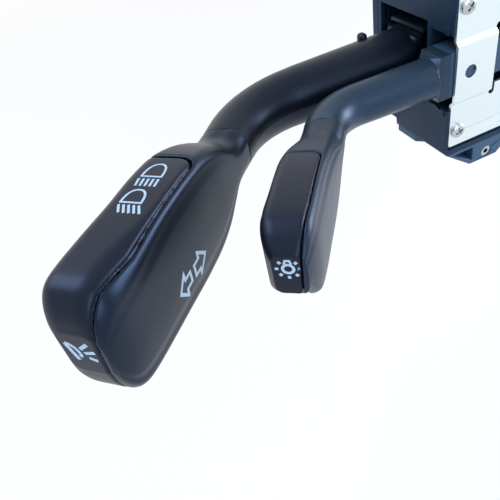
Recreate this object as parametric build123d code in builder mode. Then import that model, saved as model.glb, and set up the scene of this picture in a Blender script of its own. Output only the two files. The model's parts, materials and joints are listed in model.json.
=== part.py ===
from build123d import *
import os
from math import cos, radians, sin

# Combination stalk switch: a left-hand column block with an indicator stalk behind
# and a light stalk in front, both bending towards the driver.
# Frame: +X to the right, +Y away from the driver along the steering column, +Z up.
# The origin is the centre of the two column screws on the rear face of the front plate.
# Both stalks lie in the plane Z = 0 at rest. All sizes are millimetres.

# ---- front plate, zinc-plated steel ----------------------------------------------------
plate_thickness = 1.2
plate_left = -56.0
plate_half_height = 29.7
plate_corner = 1.2
ear_half_height = 38.0
ear_left = -9.0
ear_right = 8.5
ear_corner = 4.0
column_hole_radius = 2.7
column_hole_z = 31.0
column_centre_x = 14.0
column_notch_radius = 24.0

strap_width = 16.7
strap_half_height = 10.4
strap_raise = 1.4
strap_ramp = 1.5
slot_width = 2.4
slot_half_height = 13.4
window_right = -19.0
window_half_height = 9.2
window_corner = 3.0

# ---- housing, glass-filled nylon ---------------------------------------------------------
wall = 2.0
rim = 1.0
rim_gap = 0.2
housing_right = -4.0
housing_half_height = 33.4
rebate_half_height = 31.1
front_depth = 30.1
rear_half_height = 30.7
housing_depth = 42.6
partition_front = 10.4
partition_thickness = 2.2
light_chamber_half_height = 17.5
light_chamber_right = -15.0
light_opening_half_height = 13.8
stalk_opening_half_height = 15.8
stalk_opening_back = 40.6
rotor_chamber_half_height = 28.6
rotor_chamber_right = -13.5
corner_boss_radius = 4.0
corner_boss_x = (-50.4, -11.5)
corner_boss_z = 24.0
column_clearance = 1.5
clip_nose = 0.5

# ---- rear cover ----------------------------------------------------------------------------
cover_depth = 4.8
cover_skin = 1.8
cover_rib_pitch = 9.0
cover_rib_thickness = 1.4

# ---- plate screws and cover screws ---------------------------------------------------------
screw_head_radius = 2.8
screw_head_height = 1.9
screw_shank_radius = 1.45
screw_length = 9.0
screw_recess_width = 0.7
screw_recess_depth = 1.1
plate_screw_x = (-52.6, -13.0)
plate_screw_z = 23.0

# ---- terminal block under the housing --------------------------------------------------------
block_floor = 8.8
block_left = -56.4
block_flat_left = -44.5
block_flat_right = -31.5
block_right = -22.0
block_depth = 30.1
block_step_depth = 18.0
block_step_drop = 2.6
block_round = 1.2
pocket_left = -53.5
pocket_right = -43.6
pocket_depth = 7.0
pocket_top_gap = 1.3
pocket_floor = 1.7
rivet_hole_radius = 2.3
rivet_x = -36.6
rivet_drop = 5.9
rivet_clearance = 0.1
rivet_head_depth = 0.5
rivet_length = 8.0
rivet_bore_radius = 1.0
socket_left = -47.0
socket_right = -29.0
socket_depth = 14.0
socket_wall = 1.3
blade_count = 3
blade_width = 4.8
blade_thickness = 0.8
blade_length = 11.0

# ---- light stalk: hub, rod and paddle ----------------------------------------------------------
light_pivot_x = -49.8
light_pin_radius = 2.3
light_pin_clearance = 0.08
light_pin_recess = 0.5
light_hub_half_height = 8.25
light_hub_left = -57.5
light_hub_shoulder = -40.5
light_arm_half_height = 6.4
light_arm_right = -25.5
light_hub_gap = 0.3
light_hub_back = 9.2
light_plunger_y = 5.0
light_root_x = -63.8
light_root_y = 3.0
light_corner_x = -102.6
light_corner_y = 5.2
light_ring_distance = 13.9
light_bend = 53.7
light_bend_radius = 21.0
light_root_radius = 6.9
light_middle_radius = 7.1
light_neck_radius = 7.0
light_bore_radius = 3.6
light_range = 12.0

# ---- indicator stalk: rotor yoke, lever, rod and paddle ----------------------------------------
rotor_pivot_x = -34.0
rotor_pin_radius = 4.0
rotor_pin_clearance = 0.08
rotor_left = -55.5
rotor_web_left = -38.5
rotor_right = -24.5
rotor_half_height = 10.9
rotor_cheek = 1.4
rotor_front = 13.1
rotor_cheek_front = 17.0
rotor_back = 38.9
rotor_back_wall = 1.7
rotor_corner_depth = 2.7
rotor_corner_height = 5.4
rotor_plunger_y = 28.0
indicator_range = 12.0

lever_axis_y = 25.4
lever_pin_x = -46.5
lever_pin_radius = 2.0
lever_pin_clearance = 0.06
lever_root_left = -58.5
lever_root_right = -40.0
lever_root_half_height = 9.1
lever_root_half_depth = 8.5
stalk_corner_x = -124.0
stalk_ring_distance = 24.2
stalk_bend = 47.3
stalk_bend_radius = 38.9
stalk_root_radius = 10.45
stalk_middle_radius = 10.4
stalk_neck_radius = 8.95
stalk_bore_radius = 5.2
nub_x = -78.0
nub_length = 3.2
nub_height = 1.6
nub_width = 1.6

# ---- paddles: stations are (distance from ring seam, low, high, front, back, corner, crown) ----
ring_gap = 0.25
seam_gap = 0.3
spigot_clearance = 0.05
spigot_wall = 1.2
stalk_stations = (
    (ring_gap, -8.95, 8.95, -8.95, 8.95, 8.45, 0.1),
    (6.0, -8.35, 8.92, -8.95, 8.96, 8, 0.1),
    (11.0, -8.7, 10.0, -8.9, 9.0, 7.4, 0.3),
    (16.0, -11.3, 12.4, -8.9, 9.1, 6.6, 0.7),
    (22.0, -14.6, 15.6, -8.9, 9.2, 5.6, 1.1),
    (30.0, -16.7, 18.4, -8.8, 9.4, 4.6, 1.5),
    (41.0, -16.9, 20.0, -8.8, 9.3, 4.0, 1.8),
    (53.0, -16.2, 20.6, -8.8, 9.1, 4.0, 1.9),
    (65.0, -15.6, 21.3, -8.7, 9.2, 4.0, 1.9),
    (76.0, -14.8, 21.7, -8.6, 9.2, 4.0, 1.8),
)
stalk_tip = (
    (80.4, -14.0, 21.1, -8.1, 9.1, 4.0, 1.6),
    (83.2, -11.6, 19.1, -7.1, 8.4, 4.0, 1.3),
    (85.3, -7.0, 15.7, -5.6, 7.3, 3.6, 0.9),
    (86.4, -1.6, 11.9, -4.0, 6.1, 3.0, 0.5),
)
stalk_seam_depth = -3.0
stalk_strip_start = 27.0
stalk_shelf = ((27.0, 13.9), (75.8, 18.6), (83.2, 11.4), (83.2, -1.0), (80.2, -20.0))
stalk_front_cavity = (
    (17.0, -9.0), (24.0, -13.4), (31.0, -14.8), (74.0, -13.4), (78.5, -9.5), (78.5, 13.0),
    (75.0, 17.0), (52.0, 16.6), (38.0, 15.4), (28.0, 13.0), (17.0, 8.6),
)
stalk_back_cavity = (
    (29.5, -14.0), (33.0, -14.8), (75.0, -13.2), (77.8, -1.0), (77.8, 9.4), (73.6, 15.6),
    (29.5, 11.4),
)
stalk_cavity_depth = (-5.6, 6.6)
stalk_spigot = 3.8
light_stations = (
    (ring_gap, -7, 7, -7, 7, 6.6, 0.1),
    (5.0, -7.2, 7.08, -7, 7.03, 6.3, 0.1),
    (10.0, -8.7, 7.0, -6.7, 7.2, 5.6, 0.2),
    (15.0, -11.3, 7.8, -6.6, 7.8, 5.0, 0.4),
    (21.0, -13.7, 9.7, -6.5, 8.6, 4.2, 0.7),
    (28.0, -14.8, 11.8, -6.4, 9.0, 3.6, 0.9),
    (36.0, -14.7, 13.1, -6.3, 8.8, 3.4, 1.1),
    (45.0, -14.0, 13.9, -6.3, 8.6, 3.4, 1.1),
    (53.0, -13.2, 14.3, -6.2, 8.6, 3.4, 1.1),
)
light_tip = (
    (57.1, -11.4, 14.1, -5.9, 8.2, 3.4, 1.0),
    (60.3, -7.8, 12.9, -5.1, 7.7, 3.4, 0.8),
    (62.8, -4.3, 11.0, -4.0, 6.9, 3.0, 0.5),
    (64.6, -3.5, 9.3, -2.8, 5.7, 2.4, 0.3),
)
light_seam_depth = -1.0
light_strip_start = 25.0
light_shelf = ((25.0, 8.3), (54.0, 12.2), (61.7, 7.2), (61.7, -1.0), (57.7, -16.0))
light_front_cavity = (
    (16.0, -6.0), (24.0, -8.4), (32.0, -9.2), (50.0, -9.2), (54.0, -7.0), (56.6, 4.0),
    (54.5, 11.4), (44.0, 11.0), (34.0, 9.8), (26.0, 8.0), (16.0, 4.6),
)
light_back_cavity = (
    (28.0, -8.6), (33.0, -9.2), (51.0, -8.8), (55.4, -1.0), (55.4, 6.0), (50.4, 9.4),
    (28.0, 6.4),
)
light_cavity_depth = (-4.0, 6.8)
light_spigot = 2.2
horn_travel = 0.8
horn_clearance = 0.3
strip_gap = 0.25
horn_spring_radius = 2.4
horn_pocket_radius = 3.1
horn_pocket_wall = 1.4
horn_pocket_depth = 8.0
horn_spring_z = 2.0
horn_spring_depth = 3.0

# ---- detents, springs and contacts -------------------------------------------------------------
plunger_radius = 2.4
plunger_clearance = 0.1
plunger_length = 9.0
plunger_reach = 3.0
plunger_bore_depth = 13.0
detent_gap = 0.35
detent_notch = 0.9
track_half_angle = 20.0
wire_radius = 0.3
spring_pitch = 1.5
contact_thickness = 0.4
carrier_thickness = 1.5
carrier_gap = 1.0
carrier_half_height = 19.5
carrier_left = -54.5
carrier_right = -15.5
contact_pitch = 6.0
contact_pad = 4.0
sliding_gap = 0.3

# ---- cancelling finger -------------------------------------------------------------------------
finger_pivot_x = -19.0
finger_pin_radius = 1.5
finger_pin_clearance = 0.06
finger_radius = 4.0
finger_front = 17.0
finger_back = 23.0
finger_tip_x = -9.4
finger_tip_half_height = 2.0
finger_slot_half_height = 6.0

stalk_ring = (
    stalk_corner_x - stalk_ring_distance * cos(radians(stalk_bend)),
    lever_axis_y - stalk_ring_distance * sin(radians(stalk_bend)),
)
light_ring = (
    light_corner_x - light_ring_distance * cos(radians(light_bend)),
    light_corner_y - light_ring_distance * sin(radians(light_bend)),
)
partition_back = partition_front + partition_thickness
strap_right = plate_left + strap_width
housing_left = plate_left - rim_gap - rim
carrier_back = housing_depth - carrier_gap
carrier_front = carrier_back - carrier_thickness

os.makedirs("parts", exist_ok=True)
nodes = []


def save(builder, name):
    """Label a finished piece and write its STEP file."""
    builder.part.label = name
    export_step(builder.part, "parts/" + name + ".step")
    nodes.append(builder.part)


def across(y):
    """Plane across the column axis at depth y; its sketches extrude towards the driver."""
    return Plane(origin=(0, y, 0), x_dir=(1, 0, 0), z_dir=(0, -1, 0))


def along(x):
    """Plane across the dash at x; sketch axes are Y and Z and it extrudes towards +X."""
    return Plane(origin=(x, 0, 0), x_dir=(0, 1, 0), z_dir=(1, 0, 0))


def span(x_from, x_to, half_height, corner=0.0, mode=Mode.ADD):
    """Rectangle symmetric about Z = 0 in a sketch made on a plane from across()."""
    with Locations(((x_from + x_to) / 2, 0)):
        if corner:
            RectangleRounded(x_to - x_from, 2 * half_height, corner, mode=mode)
        else:
            Rectangle(x_to - x_from, 2 * half_height, mode=mode)


def coil(start, direction, length, radius, wire=wire_radius, pitch=spring_pitch):
    """Compression spring from a start point along a direction."""
    inset = Vector(*direction).normalized() * wire
    with BuildPart() as spring:
        with BuildLine():
            turns = Helix(pitch, length - 2 * wire, radius, center=Vector(*start) + inset,
                          direction=direction)
        with BuildSketch(Plane(origin=turns @ 0, z_dir=turns % 0)):
            RegularPolygon(wire, 6)
        sweep(is_frenet=True)
    return spring.part


def pan_screws(places, seat_y, towards):
    """Pan-head cross-recess screws: places are (x, z), towards is the head's side in Y."""
    with BuildPart() as screws:
        head = Plane(origin=(0, seat_y, 0), x_dir=(1, 0, 0), z_dir=(0, towards, 0))
        local = [(x, -towards * z) for x, z in places]
        with BuildSketch(head):
            with Locations(*local):
                Circle(screw_head_radius)
        extrude(amount=screw_head_height)
        top = screws.edges().group_by(Axis.Y)[0 if towards < 0 else -1]
        fillet(top, screw_head_height * 0.45)
        with BuildSketch(head):
            with Locations(*local):
                Circle(screw_shank_radius)
        extrude(amount=-screw_length)
        with BuildSketch(head.offset(screw_head_height)):
            with Locations(*local):
                Rectangle(screw_head_radius * 1.1, screw_recess_width)
                Rectangle(screw_recess_width, screw_head_radius * 1.1)
        extrude(amount=-screw_recess_depth, mode=Mode.SUBTRACT)
    return screws


# =================================================================================================
# Front plate: a blanked and joggled sheet. The strap in front of the light hub is raised.
# =================================================================================================
ramp_half_height = strap_half_height + strap_ramp
with BuildPart() as front_plate:
    with BuildSketch(across(0)):
        span(plate_left, ear_right, plate_half_height, plate_corner)
        for side in (-1, 1):
            with Locations(((ear_left + ear_right) / 2, side * ear_half_height / 2)):
                RectangleRounded(ear_right - ear_left, ear_half_height, ear_corner)
        with Locations((column_centre_x, 0)):
            Circle(column_notch_radius, mode=Mode.SUBTRACT)
        for side in (-1, 1):
            with Locations((0, side * column_hole_z)):
                Circle(column_hole_radius, mode=Mode.SUBTRACT)
        span(plate_left - 1, strap_right, ramp_half_height, mode=Mode.SUBTRACT)
        span(strap_right, window_right, window_half_height, window_corner, mode=Mode.SUBTRACT)
        with Locations((strap_right + slot_width / 2, 0)):
            SlotOverall(2 * slot_half_height, slot_width, rotation=90, mode=Mode.SUBTRACT)
    extrude(amount=plate_thickness)
    with BuildSketch(along(plate_left)):
        with BuildLine():
            Polyline(
                (0, -ramp_half_height), (-strap_raise, -strap_half_height),
                (-strap_raise, strap_half_height), (0, ramp_half_height),
                (-plate_thickness, ramp_half_height),
                (-plate_thickness - strap_raise, strap_half_height),
                (-plate_thickness - strap_raise, -strap_half_height),
                (-plate_thickness, -ramp_half_height), close=True,
            )
        make_face()
    extrude(amount=strap_width)
    with BuildSketch(across(0)):
        with Locations((light_pivot_x, 0)):
            Circle(light_pin_radius + light_pin_clearance)
        for x in plate_screw_x:
            for side in (-1, 1):
                with Locations((x, side * plate_screw_z)):
                    Circle(screw_shank_radius + 0.15)
    extrude(amount=plate_thickness + 2 * strap_raise, mode=Mode.SUBTRACT)
save(front_plate, "front_plate")

plate_screws = pan_screws(
    [(x, side * plate_screw_z) for x in plate_screw_x for side in (-1, 1)],
    -plate_thickness, -1,
)
save(plate_screws, "plate_screws")

# =================================================================================================
# Housing: one moulding with a light chamber in front and a rotor chamber behind a partition.
# =================================================================================================
column_clear_radius = column_notch_radius + column_clearance
corner_bosses = [(x, side * corner_boss_z) for x in corner_boss_x for side in (-1, 1)]
with BuildPart() as switch_housing:
    with BuildSketch(across(front_depth)):
        span(housing_left, housing_right, housing_half_height, 1.5)
    extrude(amount=front_depth + plate_thickness)
    with BuildSketch(across(housing_depth)):
        span(housing_left, housing_right, rear_half_height, 1.5)
    extrude(amount=housing_depth - front_depth)
    with BuildSketch(across(0)):
        span(plate_left - rim_gap, housing_right + 1, rebate_half_height)
        span(ear_left - rim_gap, housing_right + 1, housing_half_height + 1)
    extrude(amount=plate_thickness, mode=Mode.SUBTRACT)
    with BuildSketch(across(housing_depth)):
        with Locations((column_centre_x, 0)):
            Circle(column_clear_radius)
    extrude(amount=housing_depth + plate_thickness, mode=Mode.SUBTRACT)
    # light chamber with its side mouth
    with BuildSketch(across(partition_front)):
        span(housing_left + wall, light_chamber_right, light_chamber_half_height, 2.0)
        span(housing_left - 1, light_pivot_x, light_opening_half_height)
    extrude(amount=partition_front + plate_thickness, mode=Mode.SUBTRACT)
    # rotor chamber, open at the back, with solid corners for the cover screws
    with BuildSketch(across(housing_depth)):
        span(housing_left + wall, rotor_chamber_right, rotor_chamber_half_height, 2.0)
    extrude(amount=housing_depth - partition_back, mode=Mode.SUBTRACT)
    with BuildSketch(across(housing_depth)):
        with Locations(*corner_bosses):
            Circle(corner_boss_radius)
    extrude(amount=housing_depth - partition_back)
    with BuildSketch(across(stalk_opening_back)):
        span(housing_left - 1, housing_left + wall + 1, stalk_opening_half_height)
    extrude(amount=stalk_opening_back - partition_back, mode=Mode.SUBTRACT)
    # bearings for the two pivots in the partition
    with BuildSketch(across(partition_back)):
        with Locations((light_pivot_x, 0)):
            Circle(light_pin_radius + light_pin_clearance)
        with Locations((rotor_pivot_x, 0)):
            Circle(rotor_pin_radius + rotor_pin_clearance)
    extrude(amount=partition_thickness, mode=Mode.SUBTRACT)
    # slot for the cancelling finger in the column side wall
    with BuildSketch(across(finger_back + 1.0)):
        span(rotor_chamber_right - 1, housing_right, finger_slot_half_height)
    extrude(amount=finger_back - finger_front + 2.0, mode=Mode.SUBTRACT)
    # pilot holes for both sets of screws
    with BuildSketch(across(screw_length)):
        for x in plate_screw_x:
            for side in (-1, 1):
                with Locations((x, side * plate_screw_z)):
                    Circle(screw_shank_radius)
    extrude(amount=screw_length, mode=Mode.SUBTRACT)
    with BuildSketch(across(housing_depth)):
        with Locations(*corner_bosses):
            Circle(screw_shank_radius)
    extrude(amount=screw_length, mode=Mode.SUBTRACT)
    # clip noses above and below the light mouth
    for side in (-1, 1):
        with Locations((housing_left, 1.8, side * (light_opening_half_height + 1.4))):
            Box(2 * clip_nose, 2.0, 2.6)
save(switch_housing, "switch_housing")

# =================================================================================================
# Rear cover: a shallow cap with stiffening ribs outside.
# =================================================================================================
with BuildPart() as rear_cover:
    with BuildSketch(across(housing_depth + cover_depth)):
        span(housing_left, housing_right, rear_half_height, 1.5)
        with Locations((column_centre_x, 0)):
            Circle(column_clear_radius, mode=Mode.SUBTRACT)
    extrude(amount=cover_depth)
    back_edges = rear_cover.faces().sort_by(Axis.Y)[-1].edges()
    chamfer(back_edges, 1.0)
    with BuildSketch(across(housing_depth + cover_depth - cover_skin)):
        span(housing_left + wall, rotor_chamber_right, rotor_chamber_half_height - 8.0, 2.0)
    extrude(amount=cover_depth - cover_skin, mode=Mode.SUBTRACT)
    # posts that press the contact carrier into the housing
    with BuildSketch(across(housing_depth + cover_depth - cover_skin)):
        for x in (carrier_left + 4, carrier_right - 4):
            for side in (-1, 1):
                with Locations((x, side * (carrier_half_height - 4))):
                    Circle(2.0)
    extrude(amount=cover_depth - cover_skin + carrier_gap)
    # recessed panels between the outer ribs
    with BuildSketch(across(housing_depth + cover_depth)):
        for row in range(-1, 2):
            with Locations(((housing_left + rotor_chamber_right) / 2, row * cover_rib_pitch)):
                Rectangle(30.0, cover_rib_pitch - cover_rib_thickness)
    extrude(amount=0.8, mode=Mode.SUBTRACT)
    with BuildSketch(across(housing_depth + cover_depth)):
        with Locations(*corner_bosses):
            Circle(screw_shank_radius + 0.15)
    extrude(amount=cover_depth, mode=Mode.SUBTRACT)
    with BuildSketch(across(housing_depth + cover_depth)):
        with Locations(*corner_bosses):
            Circle(screw_head_radius + 0.4)
    extrude(amount=1.5, mode=Mode.SUBTRACT)
save(rear_cover, "rear_cover")

cover_screws = pan_screws(corner_bosses, housing_depth + cover_depth - 1.5, 1)
save(cover_screws, "cover_screws")

# =================================================================================================
# Terminal block: the connector under the housing, with a pocket and a rivet in front.
# =================================================================================================
block_top = -housing_half_height
block_bottom = block_top - block_floor
rivet_z = block_top - rivet_drop
with BuildPart() as terminal_block:
    with BuildSketch(across(block_depth)) as block_profile:
        with BuildLine():
            Polyline(
                (block_left, block_top), (block_flat_left, block_bottom),
                (block_flat_right, block_bottom), (block_right, block_top), close=True,
            )
        make_face()
        fillet(block_profile.vertices().group_by(Axis.Y)[0], block_round)
    extrude(amount=block_depth + plate_thickness)
    # the rear half has a deeper outer corner
    with BuildSketch(across(block_depth)):
        with BuildLine():
            Polyline(
                (block_left, block_top), (block_left, block_top - block_step_drop),
                (block_flat_left - block_round, block_bottom + block_round),
                (block_flat_left, block_top), close=True,
            )
        make_face()
    extrude(amount=block_depth - block_step_depth)
    # three-cornered pocket beside the rivet
    with BuildSketch(across(pocket_depth)):
        with BuildLine():
            Polyline(
                (pocket_left, block_top - pocket_top_gap),
                (pocket_right, block_bottom + pocket_floor),
                (pocket_right, block_top - pocket_top_gap), close=True,
            )
        make_face()
    extrude(amount=pocket_depth + plate_thickness, mode=Mode.SUBTRACT)
    with BuildSketch(across(rivet_length)):
        with Locations((rivet_x, rivet_z)):
            Circle(rivet_hole_radius)
    extrude(amount=rivet_length + plate_thickness, mode=Mode.SUBTRACT)
    # plug socket, open to the rear
    with BuildSketch(across(block_depth)):
        with Locations(((socket_left + socket_right) / 2, (block_top + block_bottom) / 2)):
            RectangleRounded(socket_right - socket_left, block_floor - 2 * socket_wall, 0.8)
    extrude(amount=socket_depth, mode=Mode.SUBTRACT)
save(terminal_block, "terminal_block")

with BuildPart() as terminal_rivet:
    with BuildSketch(across(rivet_length)):
        with Locations((rivet_x, rivet_z)):
            Circle(rivet_hole_radius - rivet_clearance)
            Circle(rivet_bore_radius, mode=Mode.SUBTRACT)
    extrude(amount=rivet_length + plate_thickness - rivet_head_depth)
save(terminal_rivet, "terminal_rivet")

blade_pitch = (socket_right - socket_left) / blade_count
socket_floor_y = block_depth - socket_depth
with BuildPart() as terminal_blades:
    with BuildSketch(across(socket_floor_y + blade_length)):
        for index in range(blade_count):
            x = socket_left + (index + 0.5) * blade_pitch
            with Locations((x, (block_top + block_bottom) / 2)):
                Rectangle(blade_width, blade_thickness)
    extrude(amount=blade_length)
save(terminal_blades, "terminal_blades")


# =================================================================================================
# Paddles: lofted blanks that the front shell, the back shell and the strip are cut from.
# =================================================================================================
def paddle_plane(ring, bend):
    """Sketch plane of a paddle: x runs out from the ring seam, y is up, z is away."""
    turn = radians(bend)
    return Plane(origin=(ring[0], ring[1], 0), x_dir=(-cos(turn), -sin(turn), 0),
                 z_dir=(-sin(turn), cos(turn), 0))


def paddle_section(plane, station):
    """Sketch of a paddle's cross-section, crowned on the driver's side."""
    distance, low, high, front, back, corner, crown = station
    centre = plane.from_local_coords((distance, 0, 0))
    with BuildSketch(Plane(origin=centre, x_dir=plane.y_dir, z_dir=plane.x_dir)) as section:
        with BuildLine():
            ThreePointArc((low, front + crown), ((low + high) / 2, front),
                          (high, front + crown))
            Polyline((high, front + crown), (high, back), (low, back), (low, front + crown))
        make_face()
        fillet(section.vertices(), corner)
    return section.sketch


def paddle_blank(plane, stations, tip):
    """Lofted body of a paddle: a long smooth part and a rounded tip."""
    with BuildPart() as blank:
        add([paddle_section(plane, station) for station in stations])
        loft()
        add([paddle_section(plane, station) for station in (stations[-1],) + tip])
        loft()
    return blank.part


def beyond(plane, start, depth):
    """Half of a paddle's space: past a distance from the ring and behind a depth."""
    with BuildPart() as region:
        with BuildSketch(plane.offset(depth)):
            with Locations((start + 60, 0)):
                Rectangle(120, 120)
        extrude(amount=40)
    return region.part


def above_shelf(plane, shelf, top_gap=0.0, end_gap=0.0, start_gap=0.0):
    """Space of the strip: over the shelf line along the top and past it at the end."""
    start, top_a = shelf[0]
    knee, top_b = shelf[1]
    with BuildPart() as region:
        with BuildSketch(plane.offset(-30)):
            with BuildLine():
                Polyline(
                    (start - start_gap, 60), (start - start_gap, top_a - top_gap),
                    (knee - end_gap, top_b - top_gap), (shelf[2][0] - end_gap, shelf[2][1]),
                    (shelf[3][0] - end_gap, shelf[3][1]), (shelf[4][0] - end_gap, shelf[4][1]),
                    (shelf[4][0] - end_gap, -60), (160, -60), (160, 60), close=True,
                )
            make_face()
        extrude(amount=60)
    return region.part


def cavity(plane, outline, front, back):
    """Straight-sided hollow between two depths."""
    with BuildPart() as hollow:
        with BuildSketch(plane.offset(front)):
            with BuildLine():
                Polyline(*outline, close=True)
            make_face()
        extrude(amount=back - front)
    return hollow.part


def ring_disc(plane, radius, start, length, up=0.0, back=0.0):
    """Cylinder along a paddle's axis or beside it, from a distance past the ring seam."""
    centre = plane.from_local_coords((start, up, back))
    with BuildPart() as disc:
        with BuildSketch(Plane(origin=centre, x_dir=plane.y_dir, z_dir=plane.x_dir)):
            Circle(radius)
        extrude(amount=length)
    return disc.part


def paddle_front_shell(plane, blank, strip_start, depth, hollow, bore, spigot):
    """Front shell with the whole neck and the spigot that enters the rod."""
    with BuildPart() as shell:
        add(blank)
        add(beyond(plane, strip_start, depth - seam_gap / 2), mode=Mode.SUBTRACT)
        add(hollow, mode=Mode.SUBTRACT)
        add(ring_disc(plane, bore - spigot_clearance, -spigot, spigot + 2 * ring_gap))
        add(ring_disc(plane, bore - spigot_clearance - spigot_wall, -spigot - 1, spigot + 20),
            mode=Mode.SUBTRACT)
    return shell


def paddle_back_shell(plane, blank, shelf, strip_start, depth, hollow, end_gap):
    """Back shell, let in below the strip."""
    with BuildPart() as shell:
        add(blank)
        add(beyond(plane, strip_start + seam_gap, depth + seam_gap / 2), mode=Mode.INTERSECT)
        add(above_shelf(plane, shelf, strip_gap, end_gap, end_gap), mode=Mode.SUBTRACT)
        add(hollow, mode=Mode.SUBTRACT)
    return shell


def paddle_strip(plane, blank, shelf, depth):
    """Strip along the top that wraps round the corner and covers the end."""
    with BuildPart() as strip:
        add(blank)
        add(beyond(plane, shelf[0][0], depth + seam_gap / 2), mode=Mode.INTERSECT)
        add(above_shelf(plane, shelf), mode=Mode.INTERSECT)
    return strip


stalk_plane = paddle_plane(stalk_ring, stalk_bend)
light_plane = paddle_plane(light_ring, light_bend)
horn_gap = horn_travel + horn_clearance
strip_end = stalk_shelf[2][0]
horn_pocket_start = strip_end - horn_gap - horn_pocket_depth

stalk_blank = paddle_blank(stalk_plane, stalk_stations, stalk_tip)
light_blank = paddle_blank(light_plane, light_stations, light_tip)

indicator_paddle_front = paddle_front_shell(
    stalk_plane, stalk_blank, stalk_strip_start - horn_gap, stalk_seam_depth,
    cavity(stalk_plane, stalk_front_cavity, stalk_cavity_depth[0], stalk_seam_depth),
    stalk_bore_radius, stalk_spigot,
)
save(indicator_paddle_front, "indicator_paddle_front")

indicator_paddle_back = paddle_back_shell(
    stalk_plane, stalk_blank, stalk_shelf, stalk_strip_start - horn_gap, stalk_seam_depth,
    cavity(stalk_plane, stalk_back_cavity, stalk_seam_depth, stalk_cavity_depth[1]), horn_gap,
)
with indicator_paddle_back:
    pocket = (horn_pocket_start, horn_pocket_depth, horn_spring_z, horn_spring_depth)
    add(ring_disc(stalk_plane, horn_pocket_radius + horn_pocket_wall,
                  pocket[0] - horn_pocket_wall, pocket[1] + horn_pocket_wall, *pocket[2:]))
    add(ring_disc(stalk_plane, horn_pocket_radius, *pocket), mode=Mode.SUBTRACT)
save(indicator_paddle_back, "indicator_paddle_back")

horn_push = paddle_strip(stalk_plane, stalk_blank, stalk_shelf, stalk_seam_depth)
save(horn_push, "horn_push")

light_paddle_front = paddle_front_shell(
    light_plane, light_blank, light_strip_start - seam_gap, light_seam_depth,
    cavity(light_plane, light_front_cavity, light_cavity_depth[0], light_seam_depth),
    light_bore_radius, light_spigot,
)
save(light_paddle_front, "light_paddle_front")

light_paddle_back = paddle_back_shell(
    light_plane, light_blank, light_shelf, light_strip_start - seam_gap, light_seam_depth,
    cavity(light_plane, light_back_cavity, light_seam_depth, light_cavity_depth[1]), strip_gap,
)
save(light_paddle_back, "light_paddle_back")

light_symbol_strip = paddle_strip(light_plane, light_blank, light_shelf, light_seam_depth)
save(light_symbol_strip, "light_symbol_strip")


# =================================================================================================
# Rods: tapered sweeps from the housing to the ring seam, hollow for the leads.
# =================================================================================================
def rod(root, corner, ring, bend_radius, root_radius, middle_radius, neck_radius):
    """Round rod with one bend: a tapered straight, a bend of even radius and a tapered end."""
    with BuildLine() as route:
        FilletPolyline(root, corner, ring, radius=bend_radius)
    first, bend, last = [edge for edge in route.line.edges().sort_by(Axis.X, reverse=True)]
    with BuildPart() as bar:
        for edge, start_radius, end_radius in (
            (first, root_radius, middle_radius), (last, middle_radius, neck_radius),
        ):
            with BuildSketch(Plane(origin=edge @ 0, z_dir=edge % 0)):
                Circle(start_radius)
            with BuildSketch(Plane(origin=edge @ 1, z_dir=edge % 1)):
                Circle(end_radius)
            loft(ruled=True)
        with BuildSketch(Plane(origin=bend @ 0, z_dir=bend % 0)):
            Circle(middle_radius)
        sweep(path=bend)
    return bar.part


stalk_path = (
    (lever_root_left, lever_axis_y, 0), (stalk_corner_x, lever_axis_y, 0), (*stalk_ring, 0),
)
root_front = lever_axis_y - lever_root_half_depth
root_back = lever_axis_y + lever_root_half_depth
with BuildPart() as indicator_stalk:
    add(rod(*stalk_path, stalk_bend_radius, stalk_root_radius, stalk_middle_radius,
            stalk_neck_radius))
    add(rod(*stalk_path, stalk_bend_radius, *[stalk_bore_radius] * 3), mode=Mode.SUBTRACT)
    with BuildSketch(along(lever_root_left)):
        with Locations((lever_axis_y, 0)):
            RectangleRounded(2 * lever_root_half_depth, 2 * lever_root_half_height, 3.0)
    extrude(amount=lever_root_right - lever_root_left)
    with BuildSketch(Plane.XY.offset(-lever_root_half_height)):
        with Locations((lever_pin_x, lever_axis_y)):
            Circle(lever_pin_radius + lever_pin_clearance)
    extrude(amount=2 * lever_root_half_height, mode=Mode.SUBTRACT)
    # small fin on top of the rod
    with BuildSketch(Plane(origin=(0, lever_axis_y + nub_width / 2, 0), z_dir=(0, -1, 0),
                           x_dir=(1, 0, 0))):
        with BuildLine():
            Polyline(
                (nub_x, stalk_root_radius - 1), (nub_x + nub_length, stalk_root_radius - 1),
                (nub_x + 0.7 * nub_length, stalk_root_radius + nub_height),
                (nub_x + 0.4 * nub_length, stalk_root_radius + nub_height), close=True,
            )
        make_face()
    extrude(amount=nub_width)
save(indicator_stalk, "indicator_stalk")

hub_front = light_hub_gap - strap_raise
with BuildPart() as light_stalk:
    light_path = (
        (light_root_x, light_root_y, 0), (light_corner_x, light_corner_y, 0), (*light_ring, 0),
    )
    add(rod(*light_path, light_bend_radius, light_root_radius, light_middle_radius,
            light_neck_radius))
    # faceted collar from the round rod to the square hub
    root_direction = Vector(light_root_x - light_corner_x, light_root_y - light_corner_y, 0)
    with BuildSketch(Plane(origin=(light_root_x, light_root_y, 0), z_dir=root_direction)):
        Circle(light_root_radius)
    with BuildSketch(along(light_hub_left)):
        with Locations(((hub_front + light_hub_back) / 2, 0)):
            Rectangle(light_hub_back - hub_front, 2 * light_hub_half_height)
    loft()
    add(rod(*light_path, light_bend_radius, *[light_bore_radius] * 3), mode=Mode.SUBTRACT)
save(light_stalk, "light_stalk")

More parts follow.
